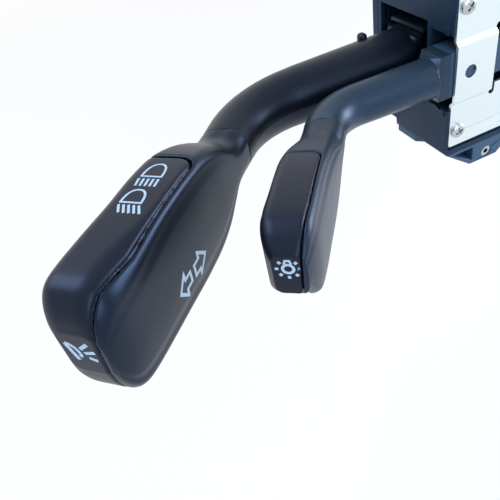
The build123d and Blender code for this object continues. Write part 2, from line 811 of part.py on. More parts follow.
# =================================================================================================
# Light hub: turns on a pin in the strap and a pin in the partition.
# =================================================================================================
with BuildPart() as light_hub:
    with BuildSketch(across(light_hub_back)):
        span(light_hub_left, light_hub_shoulder, light_hub_half_height)
    extrude(amount=light_hub_back - hub_front)
    with BuildSketch(across(light_hub_back)):
        span(light_hub_shoulder, light_arm_right, light_arm_half_height)
    extrude(amount=light_hub_back - light_hub_gap)
    arm_end = light_hub.faces().sort_by(Axis.X)[-1].edges().filter_by(Axis.Y)
    fillet(arm_end, 2.0)
    with BuildSketch(across(partition_back - light_hub_gap)):
        with Locations((light_pivot_x, 0)):
            Circle(light_pin_radius)
    extrude(amount=partition_back - light_hub_gap + plate_thickness + strap_raise
            - light_pin_recess)
    with BuildSketch(along(light_arm_right)):
        with Locations((light_plunger_y, 0)):
            Circle(plunger_radius + plunger_clearance)
    extrude(amount=-plunger_bore_depth, mode=Mode.SUBTRACT)
save(light_hub, "light_hub")

light_moving_contact_x = light_pivot_x + 10.0
with BuildPart() as light_moving_contact:
    with BuildSketch(across(light_hub_back + contact_thickness)):
        with Locations((light_moving_contact_x, 0)):
            RectangleRounded(12.0, contact_pad, 1.0)
    extrude(amount=contact_thickness)
save(light_moving_contact, "light_moving_contact")

with BuildPart() as light_fixed_contacts:
    with BuildSketch(across(partition_front)):
        for row in range(-1, 2):
            with Locations((light_moving_contact_x + 4.0, row * contact_pitch)):
                Rectangle(contact_pad, contact_pad)
    extrude(amount=contact_thickness)
save(light_fixed_contacts, "light_fixed_contacts")


# =================================================================================================
# Detents: a sprung round-nosed plunger in a moving arm, and a notched track in the housing.
# =================================================================================================
def plunger(mouth_x, y):
    """Round-nosed plunger pointing along +X out of a bore."""
    with BuildPart() as pin:
        with BuildSketch(along(mouth_x + plunger_reach - plunger_length)):
            with Locations((y, 0)):
                Circle(plunger_radius)
        extrude(amount=plunger_length)
        fillet(pin.edges().sort_by(Axis.X)[-1], plunger_radius * 0.98)
    return pin


def detent_track(pivot_x, mouth_x, wall_x, half_height, front, back, detent_range):
    """Notched block facing a plunger that swings about the Y axis through pivot_x."""
    nose = mouth_x + plunger_reach - pivot_x
    ball = nose - plunger_radius
    with BuildPart() as track:
        with BuildSketch(across(back)):
            span(pivot_x + nose * cos(radians(track_half_angle)), wall_x, half_height)
            with Locations((pivot_x, 0)):
                Circle(nose + detent_gap, mode=Mode.SUBTRACT)
                with PolarLocations(ball + detent_notch, 3, start_angle=-detent_range,
                                    angular_range=2 * detent_range, endpoint=True):
                    Circle(plunger_radius + detent_gap, mode=Mode.SUBTRACT)
        extrude(amount=back - front)
    return track


def detent_spring(mouth_x, y):
    """Spring between the bore's floor and the plunger's tail."""
    floor = mouth_x - plunger_bore_depth
    tail = mouth_x + plunger_reach - plunger_length
    return coil((floor, y, 0), (1, 0, 0), tail - floor, plunger_radius - 2 * wire_radius)


def save_solid(solid, name):
    """Save a solid that a helper returned."""
    with BuildPart() as piece:
        add(solid)
    save(piece, name)


save(plunger(light_arm_right, light_plunger_y), "light_detent_plunger")
save_solid(detent_spring(light_arm_right, light_plunger_y), "light_detent_spring")
light_detent_track = detent_track(
    light_pivot_x, light_arm_right, light_chamber_right, 10.0, 0.8, light_hub_back, light_range,
)
save(light_detent_track, "light_detent_track")

# =================================================================================================
# Rotor: a yoke that turns with the indicator stalk and lets it tilt towards the driver.
# =================================================================================================
with BuildPart() as indicator_rotor:
    with BuildSketch(along(rotor_left)):
        with BuildLine():
            Polyline(
                (rotor_cheek_front, rotor_half_height),
                (rotor_back - rotor_corner_depth, rotor_half_height),
                (rotor_back, rotor_half_height - rotor_corner_height),
                (rotor_back, rotor_corner_height - rotor_half_height),
                (rotor_back - rotor_corner_depth, -rotor_half_height),
                (rotor_cheek_front, -rotor_half_height), close=True,
            )
        make_face()
        with Locations(((rotor_cheek_front - 1 + rotor_back - rotor_back_wall) / 2, 0)):
            Rectangle(rotor_back - rotor_back_wall - rotor_cheek_front + 1,
                      2 * (rotor_half_height - rotor_cheek), mode=Mode.SUBTRACT)
    extrude(amount=rotor_web_left - rotor_left)
    with BuildSketch(along(rotor_web_left)):
        with Locations(((rotor_front + rotor_back) / 2, 0)):
            RectangleRounded(rotor_back - rotor_front, 2 * rotor_half_height, 1.5)
    extrude(amount=rotor_right - rotor_web_left)
    with BuildSketch(across(carrier_back - 0.2)):
        with Locations((rotor_pivot_x, 0)):
            Circle(rotor_pin_radius)
    extrude(amount=carrier_back - 0.4 - partition_front)
    with BuildSketch(along(rotor_right)):
        with Locations((rotor_plunger_y, 0)):
            Circle(plunger_radius + plunger_clearance)
    extrude(amount=-plunger_bore_depth, mode=Mode.SUBTRACT)
    with BuildSketch(Plane.XY.offset(-rotor_half_height)):
        with Locations((lever_pin_x, lever_axis_y)):
            Circle(lever_pin_radius)
    extrude(amount=2 * rotor_half_height, mode=Mode.SUBTRACT)
save(indicator_rotor, "indicator_rotor")

with BuildPart() as lever_pin:
    with BuildSketch(Plane.XY.offset(-rotor_half_height)):
        with Locations((lever_pin_x, lever_axis_y)):
            Circle(lever_pin_radius)
    extrude(amount=2 * rotor_half_height)
save(lever_pin, "lever_pin")

save(plunger(rotor_right, rotor_plunger_y), "indicator_detent_plunger")
save_solid(detent_spring(rotor_right, rotor_plunger_y), "indicator_detent_spring")
indicator_detent_track = detent_track(
    rotor_pivot_x, rotor_right, rotor_chamber_right, 4.8, rotor_plunger_y - 3.5,
    rotor_plunger_y + 3.5, indicator_range,
)
save(indicator_detent_track, "indicator_detent_track")

flash_spring_x = (lever_pin_x + lever_root_right) / 2 + 1.0
flash_spring = coil((flash_spring_x, root_back, 0), (0, 1, 0),
                    rotor_back - rotor_back_wall - root_back, 1.8)
save_solid(flash_spring, "flash_spring")

# =================================================================================================
# Contacts: a slider on the rotor sweeps pads on a carrier behind it.
# =================================================================================================
with BuildPart() as contact_carrier:
    with BuildSketch(across(carrier_back)):
        span(carrier_left, carrier_right, carrier_half_height, 2.0)
        with Locations((rotor_pivot_x, 0)):
            Circle(rotor_pin_radius + rotor_pin_clearance, mode=Mode.SUBTRACT)
    extrude(amount=carrier_thickness)
save(contact_carrier, "contact_carrier")

with BuildPart() as fixed_contacts:
    with BuildSketch(across(carrier_front)):
        for row in range(-1, 2):
            with Locations((lever_pin_x, row * contact_pitch)):
                Rectangle(contact_pad + 2.0, contact_pad)
    extrude(amount=contact_thickness)
save(fixed_contacts, "fixed_contacts")

with BuildPart() as indicator_slider:
    with BuildSketch(across(rotor_back + contact_thickness)):
        with Locations((lever_pin_x, 0)):
            RectangleRounded(contact_pad + 2.0, contact_pad + 1.0, 1.0)
    extrude(amount=contact_thickness)
save(indicator_slider, "indicator_slider")

# =================================================================================================
# Cancelling finger: a sprung pawl that reaches the cam on the steering column.
# =================================================================================================
finger_pin_back = finger_back + 1.0
with BuildPart() as cancel_pin:
    with BuildSketch(across(finger_pin_back)):
        with Locations((finger_pivot_x, 0)):
            Circle(finger_pin_radius)
    extrude(amount=finger_pin_back - partition_back)
save(cancel_pin, "cancel_pin")

with BuildPart() as cancel_finger:
    with BuildSketch(across(finger_back)) as finger_outline:
        with Locations((finger_pivot_x, 0)):
            Circle(finger_radius)
        span(finger_pivot_x, finger_tip_x, finger_tip_half_height, 1.2)
        with Locations((finger_pivot_x, 0)):
            Circle(finger_pin_radius + finger_pin_clearance, mode=Mode.SUBTRACT)
    extrude(amount=finger_back - finger_front)
save(cancel_finger, "cancel_finger")

cancel_spring = coil((finger_pivot_x, partition_back, 0), (0, 1, 0),
                     finger_front - partition_back - sliding_gap, 2.3)
save_solid(cancel_spring, "cancel_spring")

# =================================================================================================
# Horn spring in the pocket of the back shell.
# =================================================================================================
horn_axis = stalk_plane.from_local_coords(
    (horn_pocket_start, horn_spring_z, horn_spring_depth))
horn_spring = coil(tuple(horn_axis), tuple(stalk_plane.x_dir), horn_gap + horn_pocket_depth,
                   horn_spring_radius)
save_solid(horn_spring, "horn_spring")
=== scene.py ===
"""Looks of a steering-column combination stalk switch.

Two cranked stalks leave a column block towards the driver. The longer stalk carries the
indicator and the horn push, the shorter one the lamp switch. Lengths are written in
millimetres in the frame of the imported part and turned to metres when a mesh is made.
"""

from __future__ import annotations

import json
import logging
import math
from dataclasses import dataclass, field
from enum import Enum
from typing import Callable, Iterable, Sequence

import bmesh
import bpy
import numpy as np
from mathutils import Matrix, Vector
from mathutils.bvhtree import BVHTree

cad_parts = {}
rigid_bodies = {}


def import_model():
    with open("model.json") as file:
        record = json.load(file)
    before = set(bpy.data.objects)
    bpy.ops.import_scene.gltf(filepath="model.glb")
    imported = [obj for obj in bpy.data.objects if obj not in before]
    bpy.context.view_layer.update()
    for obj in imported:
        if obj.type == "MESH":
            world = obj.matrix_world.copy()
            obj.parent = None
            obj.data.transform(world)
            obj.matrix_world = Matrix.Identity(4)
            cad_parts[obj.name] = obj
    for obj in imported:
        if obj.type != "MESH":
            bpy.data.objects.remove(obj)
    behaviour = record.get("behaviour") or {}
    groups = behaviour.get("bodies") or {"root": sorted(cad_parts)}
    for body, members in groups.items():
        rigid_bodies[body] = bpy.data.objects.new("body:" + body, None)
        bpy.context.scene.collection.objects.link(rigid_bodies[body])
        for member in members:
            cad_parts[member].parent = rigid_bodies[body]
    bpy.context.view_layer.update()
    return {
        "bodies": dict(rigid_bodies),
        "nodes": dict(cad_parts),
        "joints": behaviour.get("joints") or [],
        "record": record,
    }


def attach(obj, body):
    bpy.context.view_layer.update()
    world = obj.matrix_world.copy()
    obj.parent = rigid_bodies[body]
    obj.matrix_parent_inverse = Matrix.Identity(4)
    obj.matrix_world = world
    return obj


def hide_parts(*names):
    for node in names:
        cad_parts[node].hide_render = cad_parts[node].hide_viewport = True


LOG = logging.getLogger("stalk_switch")
MM = 0.001
Point = Sequence[float]


# --- Colour and node helpers ---
def linear(code: str) -> tuple[float, float, float, float]:
    """Turn an sRGB hex colour to linear red, green, blue and alpha.

    Args:
        code: Colour such as "#1c1e22".

    Returns:
        Four linear values, alpha 1.
    """
    raw = [int(code[i : i + 2], 16) / 255 for i in (1, 3, 5)]
    lin = [c / 12.92 if c <= 0.04045 else ((c + 0.055) / 1.055) ** 2.4 for c in raw]
    return (lin[0], lin[1], lin[2], 1.0)


def add_node(
    tree: bpy.types.NodeTree,
    kind: str,
    values: dict[str | int, object] | None = None,
    links: dict[str | int, bpy.types.NodeSocket] | None = None,
    **settings: object,
) -> bpy.types.Node:
    """Add a node, set its properties and inputs, and link what feeds it.

    Args:
        tree: Node tree to add to.
        kind: Blender's identifier of the node type.
        values: Input name or index to default value.
        links: Input name or index to the socket that feeds it.
        **settings: Properties of the node itself.

    Returns:
        The new node.
    """
    node = tree.nodes.new(kind)
    for name, value in settings.items():
        setattr(node, name, value)
    for key, value in (values or {}).items():
        node.inputs[key].default_value = value
    for key, socket in (links or {}).items():
        tree.links.new(socket, node.inputs[key])
    return node


def fresh_material(name: str) -> tuple[bpy.types.Material, bpy.types.NodeTree]:
    """Make a material with an empty node tree.

    Args:
        name: Name of the material.

    Returns:
        The material and its tree.
    """
    mat = bpy.data.materials.new(name)
    mat.use_nodes = True
    mat.node_tree.nodes.clear()
    return mat, mat.node_tree


def noise(tree: bpy.types.NodeTree, coords: bpy.types.NodeSocket, size_mm: float,
          detail: float, roughness: float = 0.5) -> bpy.types.NodeSocket:
    """Add a noise pattern.

    Args:
        tree: Tree to add to.
        coords: Where the pattern is read.
        size_mm: Size of its spots.
        detail: Number of finer patterns in it.
        roughness: Strength of those.

    Returns:
        The pattern's socket.
    """
    scale = 1.0 / (size_mm * MM)
    return add_node(tree, "ShaderNodeTexNoise",
                    {"Scale": scale, "Detail": detail, "Roughness": roughness},
                    {"Vector": coords}).outputs["Fac"]


# --- Finishes ---
class Slot(Enum):
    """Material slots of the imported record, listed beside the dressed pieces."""

    HOUSING = "housing"
    GLOSS_BLACK = "gloss_black"
    ZINC = "zinc"
    ACETAL = "acetal"
    SPRING = "spring"


@dataclass(frozen=True)
class MouldedPlastic:
    """Injection-moulded plastic with a spark-eroded grain.

    The grain is a fine bump with a slight change of gloss, so that broad faces break up the
    reflection of the sky instead of mirroring it.
    """

    name: str
    colour: str
    roughness: float
    grain_mm: float
    grain_depth_mm: float
    gloss_spread: float
    reflection: str = "#a0c5ff"
    shine: float = 0.5
    haze_mm: float = 14.0

    def material(self) -> bpy.types.Material:
        """Build the material.

        Returns:
            A material that reads Object coordinates.
        """
        mat, tree = fresh_material(self.name)
        coords = add_node(tree, "ShaderNodeTexCoord").outputs["Object"]
        grain = noise(tree, coords, self.grain_mm, 2.0)
        haze = noise(tree, coords, self.haze_mm, 3.0)
        gloss = add_node(
            tree, "ShaderNodeMapRange",
            {"To Min": self.roughness - self.gloss_spread,
             "To Max": self.roughness + self.gloss_spread},
            {"Value": haze},
        )
        bump = add_node(
            tree, "ShaderNodeBump", {"Strength": 0.35, "Distance": self.grain_depth_mm * MM},
            {"Height": grain},
        )
        shader = add_node(
            tree, "ShaderNodeBsdfPrincipled",
            {"Base Color": linear(self.colour), "IOR": 1.5,
             "Specular Tint": linear(self.reflection), "Specular IOR Level": self.shine},
            {"Roughness": gloss.outputs["Result"], "Normal": bump.outputs["Normal"]},
        )
        add_node(tree, "ShaderNodeOutputMaterial", None, {"Surface": shader.outputs["BSDF"]})
        return mat


@dataclass(frozen=True)
class PlatedSteel:
    """Sheet or wire of steel with a plated or ground surface.

    Passivated zinc shows a pale crystal mottle about a millimetre across over faint rolling
    lines, which is what gives it a cloudy shine beside bare steel.
    """

    name: str
    colour: str
    shade: str
    roughness: float
    mottle_mm: float
    rolling_mm: float
    bump_mm: float = 0.004

    def material(self) -> bpy.types.Material:
        """Build the material.

        Returns:
            A metallic material that reads Object coordinates.
        """
        mat, tree = fresh_material(self.name)
        coords = add_node(tree, "ShaderNodeTexCoord").outputs["Object"]
        mottle = noise(tree, coords, self.mottle_mm, 4.0, 0.6)
        stretch = add_node(
            tree, "ShaderNodeMapping", {"Scale": (0.04, 1.0, 1.0)}, {"Vector": coords},
        )
        rolling = noise(tree, stretch.outputs["Vector"], self.rolling_mm, 2.0)
        both = add_node(
            tree, "ShaderNodeMix", {0: 0.35},
            {2: mottle, 3: rolling}, data_type="FLOAT",
        )
        tint = add_node(
            tree, "ShaderNodeMix",
            {6: linear(self.shade), 7: linear(self.colour)},
            {0: both.outputs[0]}, data_type="RGBA",
        )
        gloss = add_node(
            tree, "ShaderNodeMapRange",
            {"To Min": self.roughness + 0.08, "To Max": self.roughness - 0.05},
            {"Value": both.outputs[0]},
        )
        bump = add_node(
            tree, "ShaderNodeBump", {"Strength": 0.3, "Distance": self.bump_mm * MM},
            {"Height": both.outputs[0]},
        )
        shader = add_node(
            tree, "ShaderNodeBsdfPrincipled", {"Metallic": 1.0},
            {"Base Color": tint.outputs[2], "Roughness": gloss.outputs["Result"],
             "Normal": bump.outputs["Normal"]},
        )
        add_node(tree, "ShaderNodeOutputMaterial", None, {"Surface": shader.outputs["BSDF"]})
        return mat


@dataclass(frozen=True)
class PadPrint:
    """Pad-printed ink: a thin matt film with a soft edge and slightly uneven cover."""

    name: str
    colour: str
    thin_colour: str
    cover_mm: float = 0.8

    def material(self) -> bpy.types.Material:
        """Build the material.

        Returns:
            A matt ink that reads Object coordinates.
        """
        mat, tree = fresh_material(self.name)
        coords = add_node(tree, "ShaderNodeTexCoord").outputs["Object"]
        cover = noise(tree, coords, self.cover_mm, 3.0)
        tint = add_node(
            tree, "ShaderNodeMix",
            {6: linear(self.thin_colour), 7: linear(self.colour)},
            {0: cover}, data_type="RGBA",
        )
        shader = add_node(
            tree, "ShaderNodeBsdfPrincipled", {"Roughness": 0.55},
            {"Base Color": tint.outputs[2]},
        )
        add_node(tree, "ShaderNodeOutputMaterial", None, {"Surface": shader.outputs["BSDF"]})
        return mat


@dataclass
class Finishes:
    """Every finish of the switch, made once and shared by its pieces."""

    # Near-black with a steel-blue reflection; the fine grain keeps the bevel's highlight soft.
    paddle_abs: bpy.types.Material = field(default_factory=MouldedPlastic(
        "fine-grained black ABS paddle", "#070b12", 0.36, 0.25, 0.010, 0.03, "#9cc2ff", 0.45,
    ).material)
    # The lamp stalk's paddle is a slightly greyer black than the long one's, which lifts it off
    # the long one.
    light_paddle_abs: bpy.types.Material = field(default_factory=MouldedPlastic(
        "fine-grained slate ABS paddle", "#16202c", 0.38, 0.25, 0.010, 0.03, "#a8c4fa",
    ).material)
    # A touch duller and greyer than the shells, so the strips read as mouldings of their own.
    strip_abs: bpy.types.Material = field(default_factory=MouldedPlastic(
        "satin black ABS strip", "#0f131b", 0.38, 0.25, 0.012, 0.03, "#a6bcf2", 0.4,
    ).material)
    # Smooth drawn-over gloss along the rod, just hazy enough to hide the parting line's end.
    rod_abs: bpy.types.Material = field(default_factory=MouldedPlastic(
        "satin black ABS rod", "#070a10", 0.36, 0.30, 0.010, 0.04, "#acc6f6", 0.42,
    ).material)
    # Blue-slate rod that catches the window as one long soft band.
    light_rod_abs: bpy.types.Material = field(default_factory=MouldedPlastic(
        "satin slate ABS rod", "#22313f", 0.34, 0.30, 0.010, 0.04,
    ).material)
    # Glass fibre near the skin leaves a coarser, drier grain on the housing.
    housing_nylon: bpy.types.Material = field(default_factory=MouldedPlastic(
        "glass-filled navy-black nylon", "#16293a", 0.50, 0.35, 0.020, 0.06, "#88b4ff", 0.4,
    ).material)
    # The plug socket is unfilled and paler than the housing above it.
    socket_nylon: bpy.types.Material = field(default_factory=MouldedPlastic(
        "slate nylon plug socket", "#3a526a", 0.44, 0.40, 0.014, 0.05,
    ).material)
    # Paler block that the lamp stalk turns in, so the hinge shows beside the plate.
    bearing_nylon: bpy.types.Material = field(default_factory=MouldedPlastic(
        "slate nylon bearing block", "#34495d", 0.42, 0.40, 0.010, 0.05,
    ).material)
    # Dark greenish yoke inside the mouth, only just lighter than the hollow behind it.
    yoke_nylon: bpy.types.Material = field(default_factory=MouldedPlastic(
        "charcoal nylon yoke", "#10181f", 0.48, 0.40, 0.012, 0.05,
    ).material)
    # Waxy grey slide plastic for tracks and the cancelling finger.
    acetal: bpy.types.Material = field(default_factory=MouldedPlastic(
        "satin grey acetal", "#8b98a5", 0.36, 0.40, 0.006, 0.04, "#e6eeff",
    ).material)
    # Cloudy zinc: millimetre crystal mottle over faint rolling lines on near-white metal.
    zinc: bpy.types.Material = field(default_factory=PlatedSteel(
        "clear-passivated zinc plate", "#ecf3f3", "#d3e4e8", 0.38, 1.1, 0.5,
    ).material)
    # Brighter and tighter mottle than the plate, so the heads sparkle on it.
    screw_zinc: bpy.types.Material = field(default_factory=PlatedSteel(
        "bright zinc screw", "#d8dcdc", "#9aa4a8", 0.24, 0.7, 0.3,
    ).material)
    # Fine lines across the pins from centreless grinding.
    ground_steel: bpy.types.Material = field(default_factory=PlatedSteel(
        "centreless-ground steel pin", "#b4b8bb", "#93989c", 0.24, 0.5, 0.12,
    ).material)
    # Drawing marks along the wire give the springs a streaky shine.
    spring_wire: bpy.types.Material = field(default_factory=PlatedSteel(
        "drawn spring wire", "#a2a6aa", "#7b8085", 0.30, 0.4, 0.10,
    ).material)
    # Warm stamped strip, the one yellow metal inside the block.
    brass: bpy.types.Material = field(default_factory=PlatedSteel(
        "stamped brass", "#c9a75c", "#a1803c", 0.30, 0.9, 0.4,
    ).material)
    # Pale ink that lets a little of the dark plastic through where the pad lifted.
    ink: bpy.types.Material = field(default_factory=PadPrint(
        "pale blue pad-print ink", "#c6dcee", "#9db9d2",
    ).material)

    def dress(self, nodes: dict[str, bpy.types.Object]) -> None:
        """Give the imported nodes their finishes.

        Args:
            nodes: Node name to its object.
        """
        wearers = (
            (self.housing_nylon, "switch_housing rear_cover contact_carrier"),
            (self.socket_nylon, "terminal_block"),
            (self.zinc, "front_plate"),
            (self.screw_zinc, "plate_screws cover_screws terminal_rivet"),
            (self.bearing_nylon, "light_hub"),
            (self.yoke_nylon, "indicator_rotor"),
            (self.acetal, "light_detent_track indicator_detent_track cancel_finger"),
            (self.rod_abs, "indicator_stalk"),
            (self.light_rod_abs, "light_stalk"),
            (self.ground_steel,
             "lever_pin cancel_pin light_detent_plunger indicator_detent_plunger"),
            (self.spring_wire, "light_detent_spring indicator_detent_spring flash_spring "
                               "horn_spring cancel_spring"),
            (self.brass, "terminal_blades light_moving_contact light_fixed_contacts "
                         "fixed_contacts indicator_slider"),
        )
        for material, names in wearers:
            for name in names.split():
                finished(nodes[name], material)


# --- Mesh helpers ---
def linked(name: str, data: bpy.types.ID) -> bpy.types.Object:
    """Make an object and link it to the scene's collection.

    Args:
        name: Name of the object.
        data: Its mesh, lamp or camera.

    Returns:
        The object, at the origin.
    """
    piece = bpy.data.objects.new(name, data)
    bpy.context.scene.collection.objects.link(piece)
    return piece


def finished(piece: bpy.types.Object, material: bpy.types.Material) -> None:
    """Give a piece one finish and no other."""
    piece.data.materials.clear()
    piece.data.materials.append(material)


def shaded(piece: bpy.types.Object, sharp_deg: float) -> None:
    """Shade a piece smoothly, apart from edges that turn by more than an angle."""
    piece.data.shade_smooth()
    piece.data.set_sharp_from_angle(angle=math.radians(sharp_deg))


def mesh_piece(
    name: str,
    points: np.ndarray | Sequence[Point],
    faces: Iterable[Sequence[int]],
    material: bpy.types.Material | None = None,
    smooth: bool = True,
) -> bpy.types.Object:
    """Make an object from points in millimetres.

    Args:
        name: Name of the object and its mesh.
        points: Points in the part's frame.
        faces: Corner indices of each face.
        material: Finish, if it is known yet.
        smooth: Whether faces shade smoothly.

    Returns:
        An object at the origin with its place in its mesh.
    """
    mesh = bpy.data.meshes.new(name)
    scaled = (np.asarray(points, float) * MM).tolist()
    mesh.from_pydata(scaled, [], [tuple(f) for f in faces])
    mesh.validate()
    mesh.update()
    piece = linked(name, mesh)
    if material:
        mesh.materials.append(material)
    if smooth:
        mesh.shade_smooth()
    else:
        mesh.shade_flat()
    return piece


def baked(piece: bpy.types.Object, name: str) -> bpy.types.Object:
    """Apply every modifier of a piece.

    Args:
        piece: Object with live modifiers.
        name: Name of the result.

    Returns:
        A new object with a plain mesh; the old one is removed.
    """
    depsgraph = bpy.context.evaluated_depsgraph_get()
    depsgraph.update()
    mesh = bpy.data.meshes.new_from_object(piece.evaluated_get(depsgraph))
    mesh.name = name
    bpy.data.objects.remove(piece)
    return linked(name, mesh)


def outward(piece: bpy.types.Object, merge_m: float = 1e-6, turn: bool = True) -> None:
    """Merge doubled points of a piece and turn every face outwards.

    Args:
        piece: Object whose mesh is mended in place.
        merge_m: Distance in metres under which points merge; at 0 none do.
        turn: Whether the faces are turned.
    """
    shape = bmesh.new()
    shape.from_mesh(piece.data)
    if merge_m:
        bmesh.ops.remove_doubles(shape, verts=shape.verts, dist=merge_m)
    if turn:
        bmesh.ops.recalc_face_normals(shape, faces=shape.faces)
    shape.to_mesh(piece.data)
    shape.free()


def skin(rings: np.ndarray) -> tuple[np.ndarray, list[list[int]]]:
    """Cover a row of closed rings with quads and both ends with a fan to their middle.

    Args:
        rings: Array of ring, point and coordinate.

    Returns:
        Points and faces.
    """
    count, around, _ = rings.shape
    points = rings.reshape(-1, 3)
    faces = []
    for i in range(count - 1):
        for j in range(around):
            k = (j + 1) % around
            faces.append([i * around + j, i * around + k,
                          (i + 1) * around + k, (i + 1) * around + j])
    start = len(points)
    points = np.vstack([points, rings[0].mean(0), rings[-1].mean(0)])
    last = (count - 1) * around
    for j in range(around):
        k = (j + 1) % around
        faces.append([k, j, start])
        faces.append([last + j, last + k, start + 1])
    return points, faces


def prism(name: str, outline: Sequence[Point], low: float, high: float,
          place: Callable[[np.ndarray], np.ndarray]) -> bpy.types.Object:
    """Make a straight prism over an outline, for cutting.

    Args:
        name: Name of the object.
        outline: Points of the outline in local first and second axes.
        low: Lower end on the local third axis.
        high: Upper end on the local third axis.
        place: Turns local points to the part's frame.

    Returns:
        A closed prism.
    """
    count = len(outline)
    local = np.array([(a, b, low) for a, b in outline] + [(a, b, high) for a, b in outline])
    faces = [list(range(count))[::-1], [count + i for i in range(count)]]
    for i in range(count):
        j = (i + 1) % count
        faces.append([i, j, count + j, count + i])
    piece = mesh_piece(name, place(local), faces, smooth=False)
    outward(piece)
    return piece


def curve_through(rows: np.ndarray, samples: int) -> np.ndarray:
    """Smooth curve through rows of numbers, even along its length.

    Args:
        rows: One row for each point to pass.
        samples: Number of rows wanted.

    Returns:
        The sampled rows; the first and last rows are kept.
    """
    step = np.sqrt(np.linalg.norm(np.diff(rows, axis=0), axis=1))
    knots = np.concatenate([[0.0], np.cumsum(step)])
    slopes = np.zeros_like(rows)
    for i in range(len(rows)):
        a, b = max(i - 1, 0), min(i + 1, len(rows) - 1)
        slopes[i] = (rows[b] - rows[a]) / (knots[b] - knots[a])
    dense = []
    for t in np.linspace(0, knots[-1], samples):
        i = min(int(np.searchsorted(knots, t, side="right")) - 1, len(rows) - 2)
        width = knots[i + 1] - knots[i]
        u = (t - knots[i]) / width
        dense.append(
            (2 * u**3 - 3 * u**2 + 1) * rows[i] + (u**3 - 2 * u**2 + u) * width * slopes[i]
            + (3 * u**2 - 2 * u**3) * rows[i + 1] + (u**3 - u**2) * width * slopes[i + 1]
        )
    return np.array(dense)


# --- Paddles ---
class Half(Enum):
    """The three mouldings of a paddle."""

    FRONT = "front_shell"
    BACK = "back_shell"
    STRIP = "strip"


# Sides of a quarter circle, a paddle's back, its low and high edges and its crowned front.
ARC_STEPS, BACK_STEPS, EDGE_STEPS, FACE_STEPS = 14, 28, 8, 40
# Steps over which the crowned front eases into its rounded edges.
BLEND_STEPS = 6
# Reach of the cutting prisms along s, z and w, well past every paddle.
PAST_END, PAST_TOP, PAST_BACK = 160.0, 60.0, 90.0
# Points this close under the blank's face belong to the face and not to a cut.
FACE_DEPTH = 0.45


